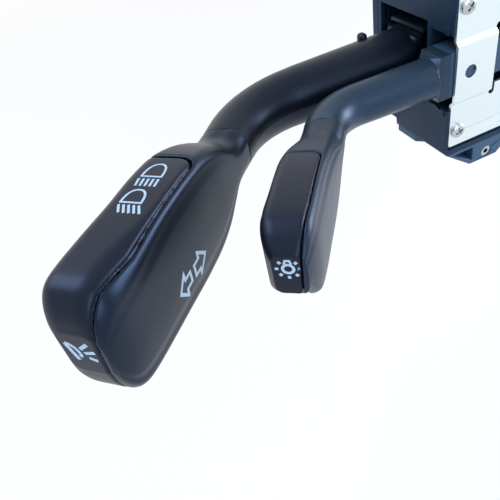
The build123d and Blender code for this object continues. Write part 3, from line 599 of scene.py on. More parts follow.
@dataclass
class Paddle:
    """A paddle of three mouldings with rounded seams, at the end of a stalk.

    Local axes: s runs out from the ring seam, z is up and w points away from the driver.
    A station is (s, low, high, front, back, corner, crown).

    Attributes:
        ring: Place of the ring seam in the part's plan.
        bend: Angle in degrees from -X to the paddle's own axis.
        seam_depth: Depth w of the seam behind the front shell.
        shelf: Corners (s, z) of the line that the strip sits on.
        front_shell_end: Where the front shell stops wrapping round the neck.
        end_gap: Room behind the strip's end.
        hook_radius: Radius of the seam where it turns towards the ring.
        crest: Height of the front's highest line, as a share.
        upper_crown: Crown above that line, as a share of the station's crown.
        upper_power: How late the upper crown falls away.
        lip_radius: Radius of the front's top edge.
        tip_lip: Where that radius starts and ends growing, and to what.
        body_corner: Corner radius from which the lip takes its own radius.
        seam_slope: Lean of the seam, depth for height.
        seam_top: Height at which the lean is nought.
        seam_turn: Where the seam turns back at the tip, a second point, and its rise there.
        seam_round: Radius of the seam's edges.
        voxel: Size of the even mesh's cells.
        samples: Sections along the paddle.
    """

    name: str
    ring: tuple[float, float]
    bend: float
    stations: tuple[tuple[float, ...], ...]
    seam_depth: float
    shelf: tuple[tuple[float, float], ...]
    front_shell_end: float
    end_gap: float
    hook_radius: float = 4.0
    crest: float = 0.5
    upper_crown: float = 0.6
    upper_power: float = 2.0
    lip_radius: float = 1.3
    tip_lip: tuple[float, float, float] = (55.0, 80.0, 0.0)
    body_corner: float = 4.6
    seam_slope: float = 0.06
    seam_top: float = 18.0
    seam_turn: tuple[float, float, float] = (69.0, 84.0, 2.1)
    seam_gap: float = 0.3
    strip_gap: float = 0.25
    seam_round: float = 0.85
    voxel: float = 0.36
    samples: int = 150

    def place(self, local: np.ndarray) -> np.ndarray:
        """Turn local points to the part's frame.

        Args:
            local: Points (s, z, w).

        Returns:
            Points (x, y, z).
        """
        turn = math.radians(self.bend)
        out = np.array([-math.cos(turn), -math.sin(turn), 0.0])
        up = np.array([0.0, 0.0, 1.0])
        away = np.array([-math.sin(turn), math.cos(turn), 0.0])
        origin = np.array([self.ring[0], self.ring[1], 0.0])
        return origin + local[:, :1] * out + local[:, 1:2] * up + local[:, 2:3] * away

    def place_plan(self, local: np.ndarray) -> np.ndarray:
        """Turn (s, w, z) points of the seam's outline to the part's frame.

        The seam leans back towards the paddle's lower edge, where it hides underneath.

        Args:
            local: Points (s, w, z).

        Returns:
            Points (x, y, z).
        """
        shifted = local[:, [0, 2, 1]].copy()
        shifted[:, 2] += self.seam_slope * (self.seam_top - shifted[:, 1])
        return self.place(shifted)

    def local(self, points: np.ndarray) -> np.ndarray:
        """Turn points of the part's frame to local ones.

        Args:
            points: Points (x, y, z).

        Returns:
            Points (s, z, w).
        """
        turn = math.radians(self.bend)
        away = points - np.array([self.ring[0], self.ring[1], 0.0])
        s = -away[:, 0] * math.cos(turn) - away[:, 1] * math.sin(turn)
        w = -away[:, 0] * math.sin(turn) + away[:, 1] * math.cos(turn)
        return np.stack([s, away[:, 2], w], axis=1)

    def section(self, row: np.ndarray) -> np.ndarray:
        """Cross-section of the paddle at one station.

        Args:
            row: The station's seven numbers.

        Returns:
            Points (s, z, w) in order round the section.
        """
        s, low, high, front, back, corner, crown = row
        corner = min(corner, (high - low) / 2 - 0.05, (back - front - crown) / 2 - 0.05)
        middle = low + (high - low) * self.crest
        rise = crown * self.upper_crown
        share = float(np.clip((corner - self.body_corner)
                              / (self.stations[0][5] - self.body_corner), 0, 1))
        lip = self.lip_radius + (corner - self.lip_radius) * share * share * (3 - 2 * share)
        grown = float(np.clip((s - self.tip_lip[0]) / (self.tip_lip[1] - self.tip_lip[0]), 0, 1))
        lip += max(self.tip_lip[2] - lip, 0) * grown * grown * (3 - 2 * grown)
        lip = min(lip, (high - low) * 0.35, (back - front - corner) * 0.6)
        points: list[tuple[float, float]] = []

        def arc(z: float, w: float, radius: float, start: float) -> None:
            """Add a corner's quarter circle.

            Args:
                z: Height of its centre.
                w: Depth of its centre.
                radius: Its radius.
                start: Its first angle.
            """
            for i in range(ARC_STEPS + 1):
                angle = start + math.pi / 2 * i / ARC_STEPS
                points.append((z + radius * math.cos(angle), w + radius * math.sin(angle)))

        def depth(z: float) -> float:
            """Find the depth of the crowned face.

            Args:
                z: Height.

            Returns:
                Depth w.
            """
            if z > middle:
                return front + rise * ((z - middle) / (high - middle)) ** self.upper_power
            return front + crown * ((middle - z) / (middle - low)) ** 2

        lower, upper = depth(low + corner * 0.6), depth(high - lip * 0.6)
        arc(high - corner, back - corner, corner, 0.0)
        for i in range(1, BACK_STEPS):
            points.append((high - corner + (low - high + 2 * corner) * i / BACK_STEPS, back))
        arc(low + corner, back - corner, corner, math.pi / 2)
        for i in range(1, EDGE_STEPS):
            points.append((low, back - corner + (lower - back + 2 * corner) * i / EDGE_STEPS))
        arc(low + corner, lower + corner, corner, math.pi)
        for i in range(1, FACE_STEPS):
            z = low + corner + (high - low - corner - lip) * i / FACE_STEPS
            blend = min(1.0, min(i, FACE_STEPS - i) / BLEND_STEPS)
            blend = blend * blend * (3 - 2 * blend)
            edge = lower if i < FACE_STEPS // 2 else upper
            points.append((z, edge * (1 - blend) + depth(z) * blend))
        arc(high - lip, upper + lip, lip, 3 * math.pi / 2)
        for i in range(1, EDGE_STEPS):
            points.append((high, upper + lip + (back - corner - upper - lip) * i / EDGE_STEPS))
        return np.array([(s, z, w) for z, w in points])

    def blank(self) -> bpy.types.Object:
        """Make the whole paddle as one closed body.

        Returns:
            The body before it is cut in mouldings.
        """
        rows = curve_through(np.array(self.stations, float), self.samples)
        rings = np.stack([self.section(row) for row in rows])
        flat, faces = skin(rings)
        piece = mesh_piece(self.name + "_blank", self.place(flat), faces)
        outward(piece)
        return piece

    def shelf_distance(self, s: np.ndarray, z: np.ndarray) -> np.ndarray:
        """Distance from the shelf line that the strip sits on.

        Args:
            s: Distances from the ring.
            z: Heights.

        Returns:
            One distance for each point.
        """
        best = np.full(s.shape, np.inf)
        corners = [(self.shelf[0][0], PAST_TOP)] + list(self.shelf)
        for (s0, z0), (s1, z1) in zip(corners[:-1], corners[1:]):
            ds, dz = s1 - s0, z1 - z0
            t = np.clip(((s - s0) * ds + (z - z0) * dz) / (ds * ds + dz * dz), 0, 1)
            best = np.minimum(best, np.hypot(s - s0 - t * ds, z - z0 - t * dz))
        return best

    def seam_distance(self, half: Half, local: np.ndarray) -> np.ndarray:
        """Distance of local points from the cuts that bound a moulding.

        Args:
            half: The moulding.
            local: Points (s, z, w).

        Returns:
            One distance for each point.
        """
        s, z = local[:, 0], local[:, 1]
        w = local[:, 2] - self.seam_slope * (self.seam_top - z)
        gap = self.seam_gap / 2
        if half is Half.FRONT:
            return np.maximum(-self.past_hook(s, w, self.front_shell_end, -gap), 0)
        start = self.front_shell_end + self.seam_gap
        if half is Half.BACK:
            shelf = np.maximum(self.shelf_distance(s, z) - self.strip_gap, 0)
            return np.maximum(np.minimum(self.past_hook(s, w, start, gap), shelf), 0)
        start = self.shelf[0][0]
        return np.maximum(
            np.minimum(self.past_hook(s, w, start, gap), self.shelf_distance(s, z)), 0)

    def past_hook(self, s: np.ndarray, w: np.ndarray, start: float, gap: float) -> np.ndarray:
        """Signed distance into the space past a start and behind the seam.

        Args:
            s: Distances from the ring.
            w: Depths.
            start: Where the space begins.
            gap: Shift of the seam's depth.

        Returns:
            Distances, positive inside; the space has one rounded corner.
        """
        turn_from, turn_to, turn_rise = self.seam_turn
        turned = turn_rise * np.clip((s - turn_from) / (turn_to - turn_from), 0, None)
        ds, dw = s - start, w - self.seam_depth - turned - gap
        r = self.hook_radius
        corner = r - np.hypot(np.minimum(ds - r, 0), np.minimum(dw - r, 0))
        return np.where((ds < r) & (dw < r), corner, np.minimum(ds, dw))

    def hook_outline(self, start: float, gap: float) -> list[tuple[float, float]]:
        """Outline of the space past a start and behind the seam.

        Args:
            start: Where the space begins.
            gap: Shift of the seam's depth.

        Returns:
            Points (s, w), with the rounded corner.
        """
        r, depth = self.hook_radius, self.seam_depth + gap
        turn = [math.radians(a) for a in range(180, 271, 10)]
        arc = [(start + r + r * math.cos(a), depth + r + r * math.sin(a)) for a in turn]
        turn_from, turn_to, turn_rise = self.seam_turn
        far = depth + turn_rise * (PAST_END - turn_from) / (turn_to - turn_from)
        return [(start, PAST_BACK), *arc, (turn_from, depth), (PAST_END, far),
                (PAST_END, PAST_BACK)]

    def shelf_outline(self, half: Half) -> list[tuple[float, float]]:
        """Outline of the strip's space, opened by the gaps for the back shell.

        Args:
            half: The moulding that is cut.

        Returns:
            Points (s, z).
        """
        top, end = (self.strip_gap, self.end_gap) if half is Half.BACK else (0.0, 0.0)
        a, b, c, d, e = self.shelf
        return [
            (a[0] - end, PAST_TOP), (a[0] - end, a[1] - top), (b[0] - end, b[1] - top),
            (c[0] - end, c[1]), (d[0] - end, d[1]), (e[0] - end, e[1]),
            (e[0] - end, -PAST_TOP), (PAST_END, -PAST_TOP), (PAST_END, PAST_TOP),
        ]

    def cut(self, half: Half) -> bpy.types.Object:
        """Cut one moulding out of the blank with sharp edges.

        Args:
            half: The moulding.

        Returns:
            The moulding before its edges are rounded.
        """
        piece = self.blank()
        gap = self.seam_gap / 2
        tools: list[tuple[bpy.types.Object, str]] = []
        if half is Half.FRONT:
            outline = self.hook_outline(self.front_shell_end, -gap)
            tools.append((prism("cut", outline, -PAST_BACK, PAST_BACK, self.place_plan),
                          "DIFFERENCE"))
        else:
            is_back = half is Half.BACK
            start = self.front_shell_end + self.seam_gap if is_back else self.shelf[0][0]
            outline = self.hook_outline(start, gap)
            tools.append((prism("cut", outline, -PAST_BACK, PAST_BACK, self.place_plan),
                          "INTERSECT"))
            tools.append((
                prism("shelf", self.shelf_outline(half), -PAST_BACK, PAST_BACK, self.place),
                "DIFFERENCE" if is_back else "INTERSECT"))
        for tool, operation in tools:
            modifier = piece.modifiers.new("cut", "BOOLEAN")
            modifier.object = tool
            modifier.operation = operation
            modifier.solver = "EXACT"
            piece = baked(piece, self.name + "_" + half.value)
            bpy.data.objects.remove(tool)
        return piece

    def moulding(self, half: Half, material: bpy.types.Material) -> bpy.types.Object:
        """Make one moulding with evenly rounded seam edges.

        Args:
            half: The moulding.
            material: Its finish.

        Returns:
            A closed smooth piece at the origin.
        """
        blank = self.blank()
        tree = BVHTree.FromObject(blank, bpy.context.evaluated_depsgraph_get())
        piece = self.cut(half)
        remesh = piece.modifiers.new("even", "REMESH")
        remesh.mode = "VOXEL"
        remesh.voxel_size = self.voxel * MM
        remesh.use_smooth_shade = True
        relax = piece.modifiers.new("relax", "SMOOTH")
        relax.factor = 0.5
        relax.iterations = 4
        piece = baked(piece, self.name + "_" + half.value)
        count = len(piece.data.vertices)
        flat = np.empty(count * 3)
        piece.data.vertices.foreach_get("co", flat)
        points = flat.reshape(-1, 3)
        near = np.empty_like(points)
        normal = np.empty_like(points)
        for i, co in enumerate(points):
            hit, face_normal, _, _ = tree.find_nearest(Vector(co))
            near[i], normal[i] = hit, face_normal
        bpy.data.objects.remove(blank)
        points, near = points / MM, near / MM
        inside = np.maximum(-np.sum((points - near) * normal, axis=1), 0)
        seam = self.seam_distance(half, self.local(points))
        radius = self.seam_round
        outer = (inside < FACE_DEPTH) | ((inside < seam) & (inside < radius))
        reach = np.clip(radius - seam, 0, radius)
        drop = radius - np.sqrt(np.maximum(radius**2 - reach**2, 0))
        moved = np.where(outer[:, None], near - normal * drop[:, None], points)
        flat = (moved * MM).reshape(-1)
        piece.data.vertices.foreach_set("co", flat)
        piece.data.update()
        if not outer.any():
            LOG.warning("%s %s has no outer face", self.name, half.value)
        finished(piece, material)
        piece.data.shade_smooth()
        return piece


# --- Rods ---
@dataclass
class Rod:
    """A round cranked rod with a parting line on both sides."""

    name: str
    root: tuple[float, float]
    corner: tuple[float, float]
    ring: tuple[float, float]
    bend_radius: float
    root_radius: float
    middle_radius: float
    neck_radius: float
    parting_height: float = 0.07
    around: int = 128
    along: int = 220

    def centre_line(self) -> tuple[np.ndarray, np.ndarray]:
        """Sample the rod's centre line.

        Returns:
            Points and unit directions, evenly spaced.
        """
        root, corner, ring = (np.array(p, float) for p in (self.root, self.corner, self.ring))
        first = (corner - root) / np.linalg.norm(corner - root)
        last = (ring - corner) / np.linalg.norm(ring - corner)
        turn = math.acos(float(np.clip(first @ last, -1, 1)))
        tangent = self.bend_radius * math.tan(turn / 2)
        start = corner - first * tangent
        side = np.array([-first[1], first[0]])
        if side @ last < 0:
            side = -side
        centre = start + side * self.bend_radius
        lengths = (np.linalg.norm(start - root), self.bend_radius * turn,
                   np.linalg.norm(ring - corner) - tangent)
        points, directions = [], []
        for d in np.linspace(0, sum(lengths), self.along):
            if d <= lengths[0]:
                points.append(root + first * d)
                directions.append(first)
            elif d <= lengths[0] + lengths[1]:
                angle = (d - lengths[0]) / self.bend_radius
                points.append(centre - side * self.bend_radius * math.cos(angle)
                              + first * self.bend_radius * math.sin(angle))
                directions.append(first * math.cos(angle) + side * math.sin(angle))
            else:
                points.append(corner + last * (d - lengths[0] - lengths[1] + tangent))
                directions.append(last)
        return np.array(points), np.array(directions)

    def rings(self) -> np.ndarray:
        """Make the rings of the rod's skin, rounded at the paddle's end.

        Returns:
            Array of ring, point and coordinate.
        """
        points, directions = self.centre_line()
        rows = []
        angles = np.linspace(0, 2 * math.pi, self.around, endpoint=False)
        ridge = self.parting_height * np.exp(-((np.sin(angles) / 0.02) ** 2))
        for i, (p, t) in enumerate(zip(points, directions)):
            share = i / (self.along - 1)
            radius = float(np.interp(share, (0.0, 0.5, 1.0), (
                self.root_radius, self.middle_radius, self.neck_radius)))
            side = np.array([t[1], -t[0]])
            spread = radius + ridge
            row = np.zeros((self.around, 3))
            row[:, :2] = p + np.outer(np.cos(angles) * spread, side)
            row[:, 2] = np.sin(angles) * spread
            rows.append(row)
        lip, end = 0.45, rows[-1].copy()
        middle = end.mean(0)
        tail = np.array([directions[-1][0], directions[-1][1], 0.0])
        rows = rows[:-2]
        for i in range(6):
            angle = math.pi / 2 * i / 5
            inset = lip * (1 - math.cos(angle))
            shift = lip * (math.sin(angle) - 1)
            rows.append(middle + (end - middle) * (1 - inset / self.neck_radius)
                        + tail * shift)
        rows.append(middle + (end - middle) * 0.55)
        return np.stack(rows)

    def build(self, material: bpy.types.Material) -> bpy.types.Object:
        """Make the rod as one closed smooth piece.

        Args:
            material: Its finish.

        Returns:
            The rod at the origin.
        """
        points, faces = skin(self.rings())
        piece = mesh_piece(self.name, points, faces, material)
        outward(piece)
        return piece


@dataclass
class RootBlock:
    """Rounded block on the inner end of a rod."""

    name: str
    low: tuple[float, float, float]
    high: tuple[float, float, float]
    round_mm: float

    def build(self) -> bpy.types.Object:
        """Make the block.

        Returns:
            A closed piece with rounded edges.
        """
        corners = [(x, y, z) for x in (self.low[0], self.high[0])
                   for y in (self.low[1], self.high[1]) for z in (self.low[2], self.high[2])]
        faces = [(0, 1, 3, 2), (4, 6, 7, 5), (0, 4, 5, 1), (2, 3, 7, 6), (0, 2, 6, 4),
                 (1, 5, 7, 3)]
        piece = mesh_piece(self.name, corners, faces)
        outward(piece)
        bevel = piece.modifiers.new("round", "BEVEL")
        bevel.width = self.round_mm * MM
        bevel.segments = 4
        piece = baked(piece, self.name)
        shaded(piece, 40)
        return piece


@dataclass
class FacetedCollar:
    """Short collar from a round rod to a square block, with four flat corner facets."""

    name: str
    centre: tuple[float, float]
    direction: tuple[float, float]
    radius: float
    block_x: float
    front: float
    back: float
    half_height: float
    around: int = 96

    def build(self) -> bpy.types.Object:
        """Make the collar.

        Returns:
            A closed piece with flat facets.
        """
        t = np.array(self.direction, float)
        t /= np.linalg.norm(t)
        side = np.array([t[1], -t[0]])
        angles = np.linspace(0, 2 * math.pi, self.around, endpoint=False) + math.pi / 4
        ring = np.zeros((self.around, 3))
        ring[:, :2] = self.centre + np.outer(np.cos(angles) * self.radius, side)
        ring[:, 2] = np.sin(angles) * self.radius
        back_first = side[1] > 0
        near, far = (self.back, self.front) if back_first else (self.front, self.back)
        corners = np.array([
            (self.block_x, far, self.half_height), (self.block_x, far, -self.half_height),
            (self.block_x, near, -self.half_height), (self.block_x, near, self.half_height)])
        points = np.vstack([ring, corners, ring.mean(0)])
        n, quarter = self.around, self.around // 4
        faces: list[list[int]] = []
        for i in range(n):
            faces.append([i, (i + 1) % n, n + (i // quarter)])
            faces.append([(i + 1) % n, i, n + 4])
        for q in range(4):
            faces.append([((q + 1) * quarter) % n, n + (q + 1) % 4, n + q])
        faces.append([n, n + 1, n + 2, n + 3])
        piece = mesh_piece(self.name, points, faces)
        outward(piece)
        shaded(piece, 14)
        return piece


def joined(name: str, material: bpy.types.Material, *pieces: bpy.types.Object
           ) -> bpy.types.Object:
    """Join closed pieces in one object without moving them.

    Args:
        name: Name of the result.
        material: Its finish.
        *pieces: Objects to use up.

    Returns:
        One object that holds every piece.
    """
    shape = bmesh.new()
    for piece in pieces:
        shape.from_mesh(piece.data)
    mesh = bpy.data.meshes.new(name)
    shape.to_mesh(mesh)
    shape.free()
    for piece in pieces:
        bpy.data.objects.remove(piece)
    mesh.materials.append(material)
    return linked(name, mesh)


# --- Pressed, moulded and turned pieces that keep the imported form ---
@dataclass
class EdgedPiece:
    """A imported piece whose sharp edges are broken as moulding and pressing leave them."""

    node: str
    edge_mm: float
    segments: int = 2
    sharp_deg: float = 28.0

    def build(self, frame: dict, material: bpy.types.Material) -> bpy.types.Object:
        """Make the softened copy.

        Args:
            material: Its finish.

        Returns:
            A closed piece at the origin.
        """
        source = frame["nodes"][self.node]
        piece = linked(self.node + "_dressed", source.data.copy())
        outward(piece, merge_m=2e-6, turn=False)
        bevel = piece.modifiers.new("edges", "BEVEL")
        bevel.width = self.edge_mm * MM
        bevel.segments = self.segments
        bevel.limit_method = "ANGLE"
        bevel.angle_limit = math.radians(self.sharp_deg)
        bevel.use_clamp_overlap = False
        bevel.harden_normals = False
        piece = baked(piece, self.node + "_dressed")
        finished(piece, material)
        shaded(piece, 12)
        return piece


def open_tree(name: str, inputs: dict[str, str]) -> tuple[bpy.types.NodeTree, bpy.types.Node]:
    """Start a Geometry Nodes tree with named inputs.

    Args:
        name: Name of the tree.
        inputs: Input label to the kind of its socket, such as "Float".

    Returns:
        The tree and its input node.
    """
    tree = bpy.data.node_groups.new(name, "GeometryNodeTree")
    for label, kind in {"Geometry": "Geometry", **inputs}.items():
        tree.interface.new_socket(label, in_out="INPUT", socket_type="NodeSocket" + kind)
    tree.interface.new_socket("Geometry", in_out="OUTPUT", socket_type="NodeSocketGeometry")
    return tree, tree.nodes.new("NodeGroupInput")


def close_tree(tree: bpy.types.NodeTree, geometry: bpy.types.NodeSocket,
               finish: bpy.types.NodeSocket) -> None:
    """End a tree in Realize Instances and Set Material.

    Args:
        tree: The tree.
        geometry: What it has made so far.
        finish: The input that holds the material.
    """
    real = add_node(tree, "GeometryNodeRealizeInstances", None, {"Geometry": geometry})
    dressed = add_node(tree, "GeometryNodeSetMaterial", None,
                       {"Geometry": real.outputs[0], "Material": finish})
    add_node(tree, "NodeGroupOutput", None, {0: dressed.outputs[0]})


def grown(host: bpy.types.Object, tree: bpy.types.NodeTree, values: dict[str, object],
          name: str) -> bpy.types.Object:
    """Run a tree on a host and keep what it makes as a plain mesh.

    Args:
        host: Object that carries the tree; it is used up.
        tree: The tree.
        values: Input label to its value.
        name: Name of the result.

    Returns:
        A new object with no modifier.
    """
    modifier = host.modifiers.new("nodes", "NODES")
    modifier.node_group = tree
    sockets = {item.name: item.identifier for item in tree.interface.items_tree
               if item.item_type == "SOCKET" and item.in_out == "INPUT"}
    for label, value in values.items():
        modifier[sockets[label]] = value
    return baked(host, name)


@dataclass
class ScrewSet:
    """Pan-head cross-recess screws set out by Geometry Nodes, each turned at random."""

    name: str
    places: tuple[tuple[float, float, float], ...]
    towards: float
    head_radius: float = 2.8
    head_height: float = 1.9
    shank_radius: float = 1.42
    shank_length: float = 8.9
    recess_width: float = 0.85
    recess_depth: float = 1.25
    rim_share: float = 0.38
    rim_round: float = 0.12
    tip_length: float = 1.2
    tip_radius: float = 0.35
    around: int = 56
    seed: int = 7

    def screw(self) -> bpy.types.Object:
        """Turn one screw about Y with its head's seat at the origin and cut its recess.

        Returns:
            The screw.
        """
        profile = [(0.0, self.head_height)]
        for i in range(1, 13):
            angle = math.radians(90 * i / 12)
            profile.append((self.head_radius * math.sin(angle),
                            self.head_height * (self.rim_share
                                                + (1 - self.rim_share) * math.cos(angle))))
        profile += [(self.head_radius, self.rim_round),
                    (self.head_radius - self.rim_round, 0.0), (self.shank_radius, 0.0),
                    (self.shank_radius, -self.shank_length + self.tip_length),
                    (self.tip_radius, -self.shank_length), (0.0, -self.shank_length)]
        around = self.around
        points: list[tuple[float, float, float]] = [(0.0, self.head_height, 0.0)]
        for r, y in profile[1:-1]:
            points += [(r * math.cos(2 * math.pi * k / around), y,
                        r * math.sin(2 * math.pi * k / around)) for k in range(around)]
        points.append((0.0, -self.shank_length, 0.0))
        faces: list[list[int]] = []
        for k in range(around):
            j = (k + 1) % around
            faces.append([0, 1 + k, 1 + j])
            for row in range(len(profile) - 3):
                base = 1 + row * around
                faces.append([base + k, base + around + k, base + around + j, base + j])
            last = 1 + (len(profile) - 3) * around
            faces.append([last + j, last + k, len(points) - 1])
        piece = mesh_piece(self.name + "_one", points, faces)
        outward(piece)
        for quarter in range(2):
            wide, deep = self.head_radius * 0.62, self.recess_width / 2
            top, floor = self.head_height + 0.3, self.head_height - self.recess_depth
            corners = []
            for y, grow in ((floor, 0.62), (top, 1.1)):
                for u, v in ((-1, -1), (1, -1), (1, 1), (-1, 1)):
                    a, b = u * wide * grow, v * deep * grow
                    corners.append((a, y, b) if quarter == 0 else (b, y, a))
            box = mesh_piece("recess", corners, [
                (0, 1, 2, 3), (7, 6, 5, 4), (0, 4, 5, 1), (1, 5, 6, 2), (2, 6, 7, 3),
                (3, 7, 4, 0)], smooth=False)
            outward(box)
            cut = piece.modifiers.new("recess", "BOOLEAN")
            cut.object, cut.operation, cut.solver = box, "DIFFERENCE", "EXACT"
            piece = baked(piece, self.name + "_one")
            bpy.data.objects.remove(box)
        shaded(piece, 35)
        return piece

    def tree(self) -> bpy.types.NodeTree:
        """Build the node tree that puts a turned screw on each point.

        Returns:
            The tree.
        """
        tree, given = open_tree(self.name + "_layout", {
            "Screw": "Object", "Head side": "Float", "Size": "Float", "Finish": "Material"})
        screw = add_node(tree, "GeometryNodeObjectInfo", None,
                         {"Object": given.outputs["Screw"]})
        drive = add_node(
            tree, "FunctionNodeRandomValue", {2: 0.0, 3: math.pi / 2, "Seed": self.seed})
        flip = add_node(tree, "ShaderNodeMath", {1: math.pi}, {0: given.outputs["Head side"]},
                        operation="MULTIPLY")
        turn = add_node(tree, "ShaderNodeCombineXYZ", None,
                        {"X": flip.outputs[0], "Y": drive.outputs[1]})
        placed = add_node(
            tree, "GeometryNodeInstanceOnPoints", None,
            {"Points": given.outputs["Geometry"], "Instance": screw.outputs["Geometry"],
             "Rotation": turn.outputs[0], "Scale": given.outputs["Size"]})
        close_tree(tree, placed.outputs[0], given.outputs["Finish"])
        return tree

    def build(self, material: bpy.types.Material) -> bpy.types.Object:
        """Make every screw of the set as one piece.

        Args:
            material: Their finish.

        Returns:
            A plain mesh that holds the whole set.
        """
        one = self.screw()
        host = mesh_piece(self.name + "_points", self.places, [])
        head_side = 0.0 if self.towards > 0 else 1.0
        piece = grown(host, self.tree(), {
            "Screw": one, "Head side": head_side, "Size": 1.0, "Finish": material}, self.name)
        bpy.data.objects.remove(one)
        return piece


@dataclass
class CoilSpring:
    """Ground compression spring wound by Geometry Nodes along X."""

    name: str
    start: tuple[float, float, float]
    length: float
    radius: float
    wire: float = 0.3
    turns: float = 4.0

    def tree(self) -> bpy.types.NodeTree:
        """Build the node tree that winds the wire.

        Returns:
            The tree.
        """
        tree, given = open_tree(self.name + "_winding", {
            "Radius": "Float", "Length": "Float", "Turns": "Float", "Wire": "Float",
            "Finish": "Material"})
        coil = add_node(
            tree, "GeometryNodeCurveSpiral", {"Resolution": 28},
            {"Rotations": given.outputs["Turns"], "Start Radius": given.outputs["Radius"],
             "End Radius": given.outputs["Radius"], "Height": given.outputs["Length"]})
        wire = add_node(tree, "GeometryNodeCurvePrimitiveCircle", {"Resolution": 10},
                        {"Radius": given.outputs["Wire"]})
        swept = add_node(
            tree, "GeometryNodeCurveToMesh", {"Fill Caps": True},
            {"Curve": coil.outputs[0], "Profile Curve": wire.outputs[0]})
        lie = add_node(tree, "GeometryNodeTransform", {"Rotation": (0, math.pi / 2, 0)},
                       {"Geometry": swept.outputs[0]})
        close_tree(tree, lie.outputs[0], given.outputs["Finish"])
        return tree

    def build(self, material: bpy.types.Material) -> bpy.types.Object:
        """Make the spring in its place.

        Args:
            material: Its finish.

        Returns:
            A closed piece at the origin.
        """
        host = mesh_piece(self.name + "_host", [(0, 0, 0)], [])
        piece = grown(host, self.tree(), {
            "Radius": self.radius * MM, "Length": (self.length - 2 * self.wire) * MM,
            "Turns": self.turns, "Wire": self.wire * MM, "Finish": material}, self.name)
        shift = Vector(self.start) * MM + Vector((self.wire * MM, 0, 0))
        piece.data.transform(Matrix.Translation(shift))
        outward(piece)
        piece.data.shade_smooth()
        return piece


# --- Printed symbols ---
class Side(Enum):
    """Side of a paddle that carries a print."""

    TOP = "top"
    FRONT = "front"
    END = "end"


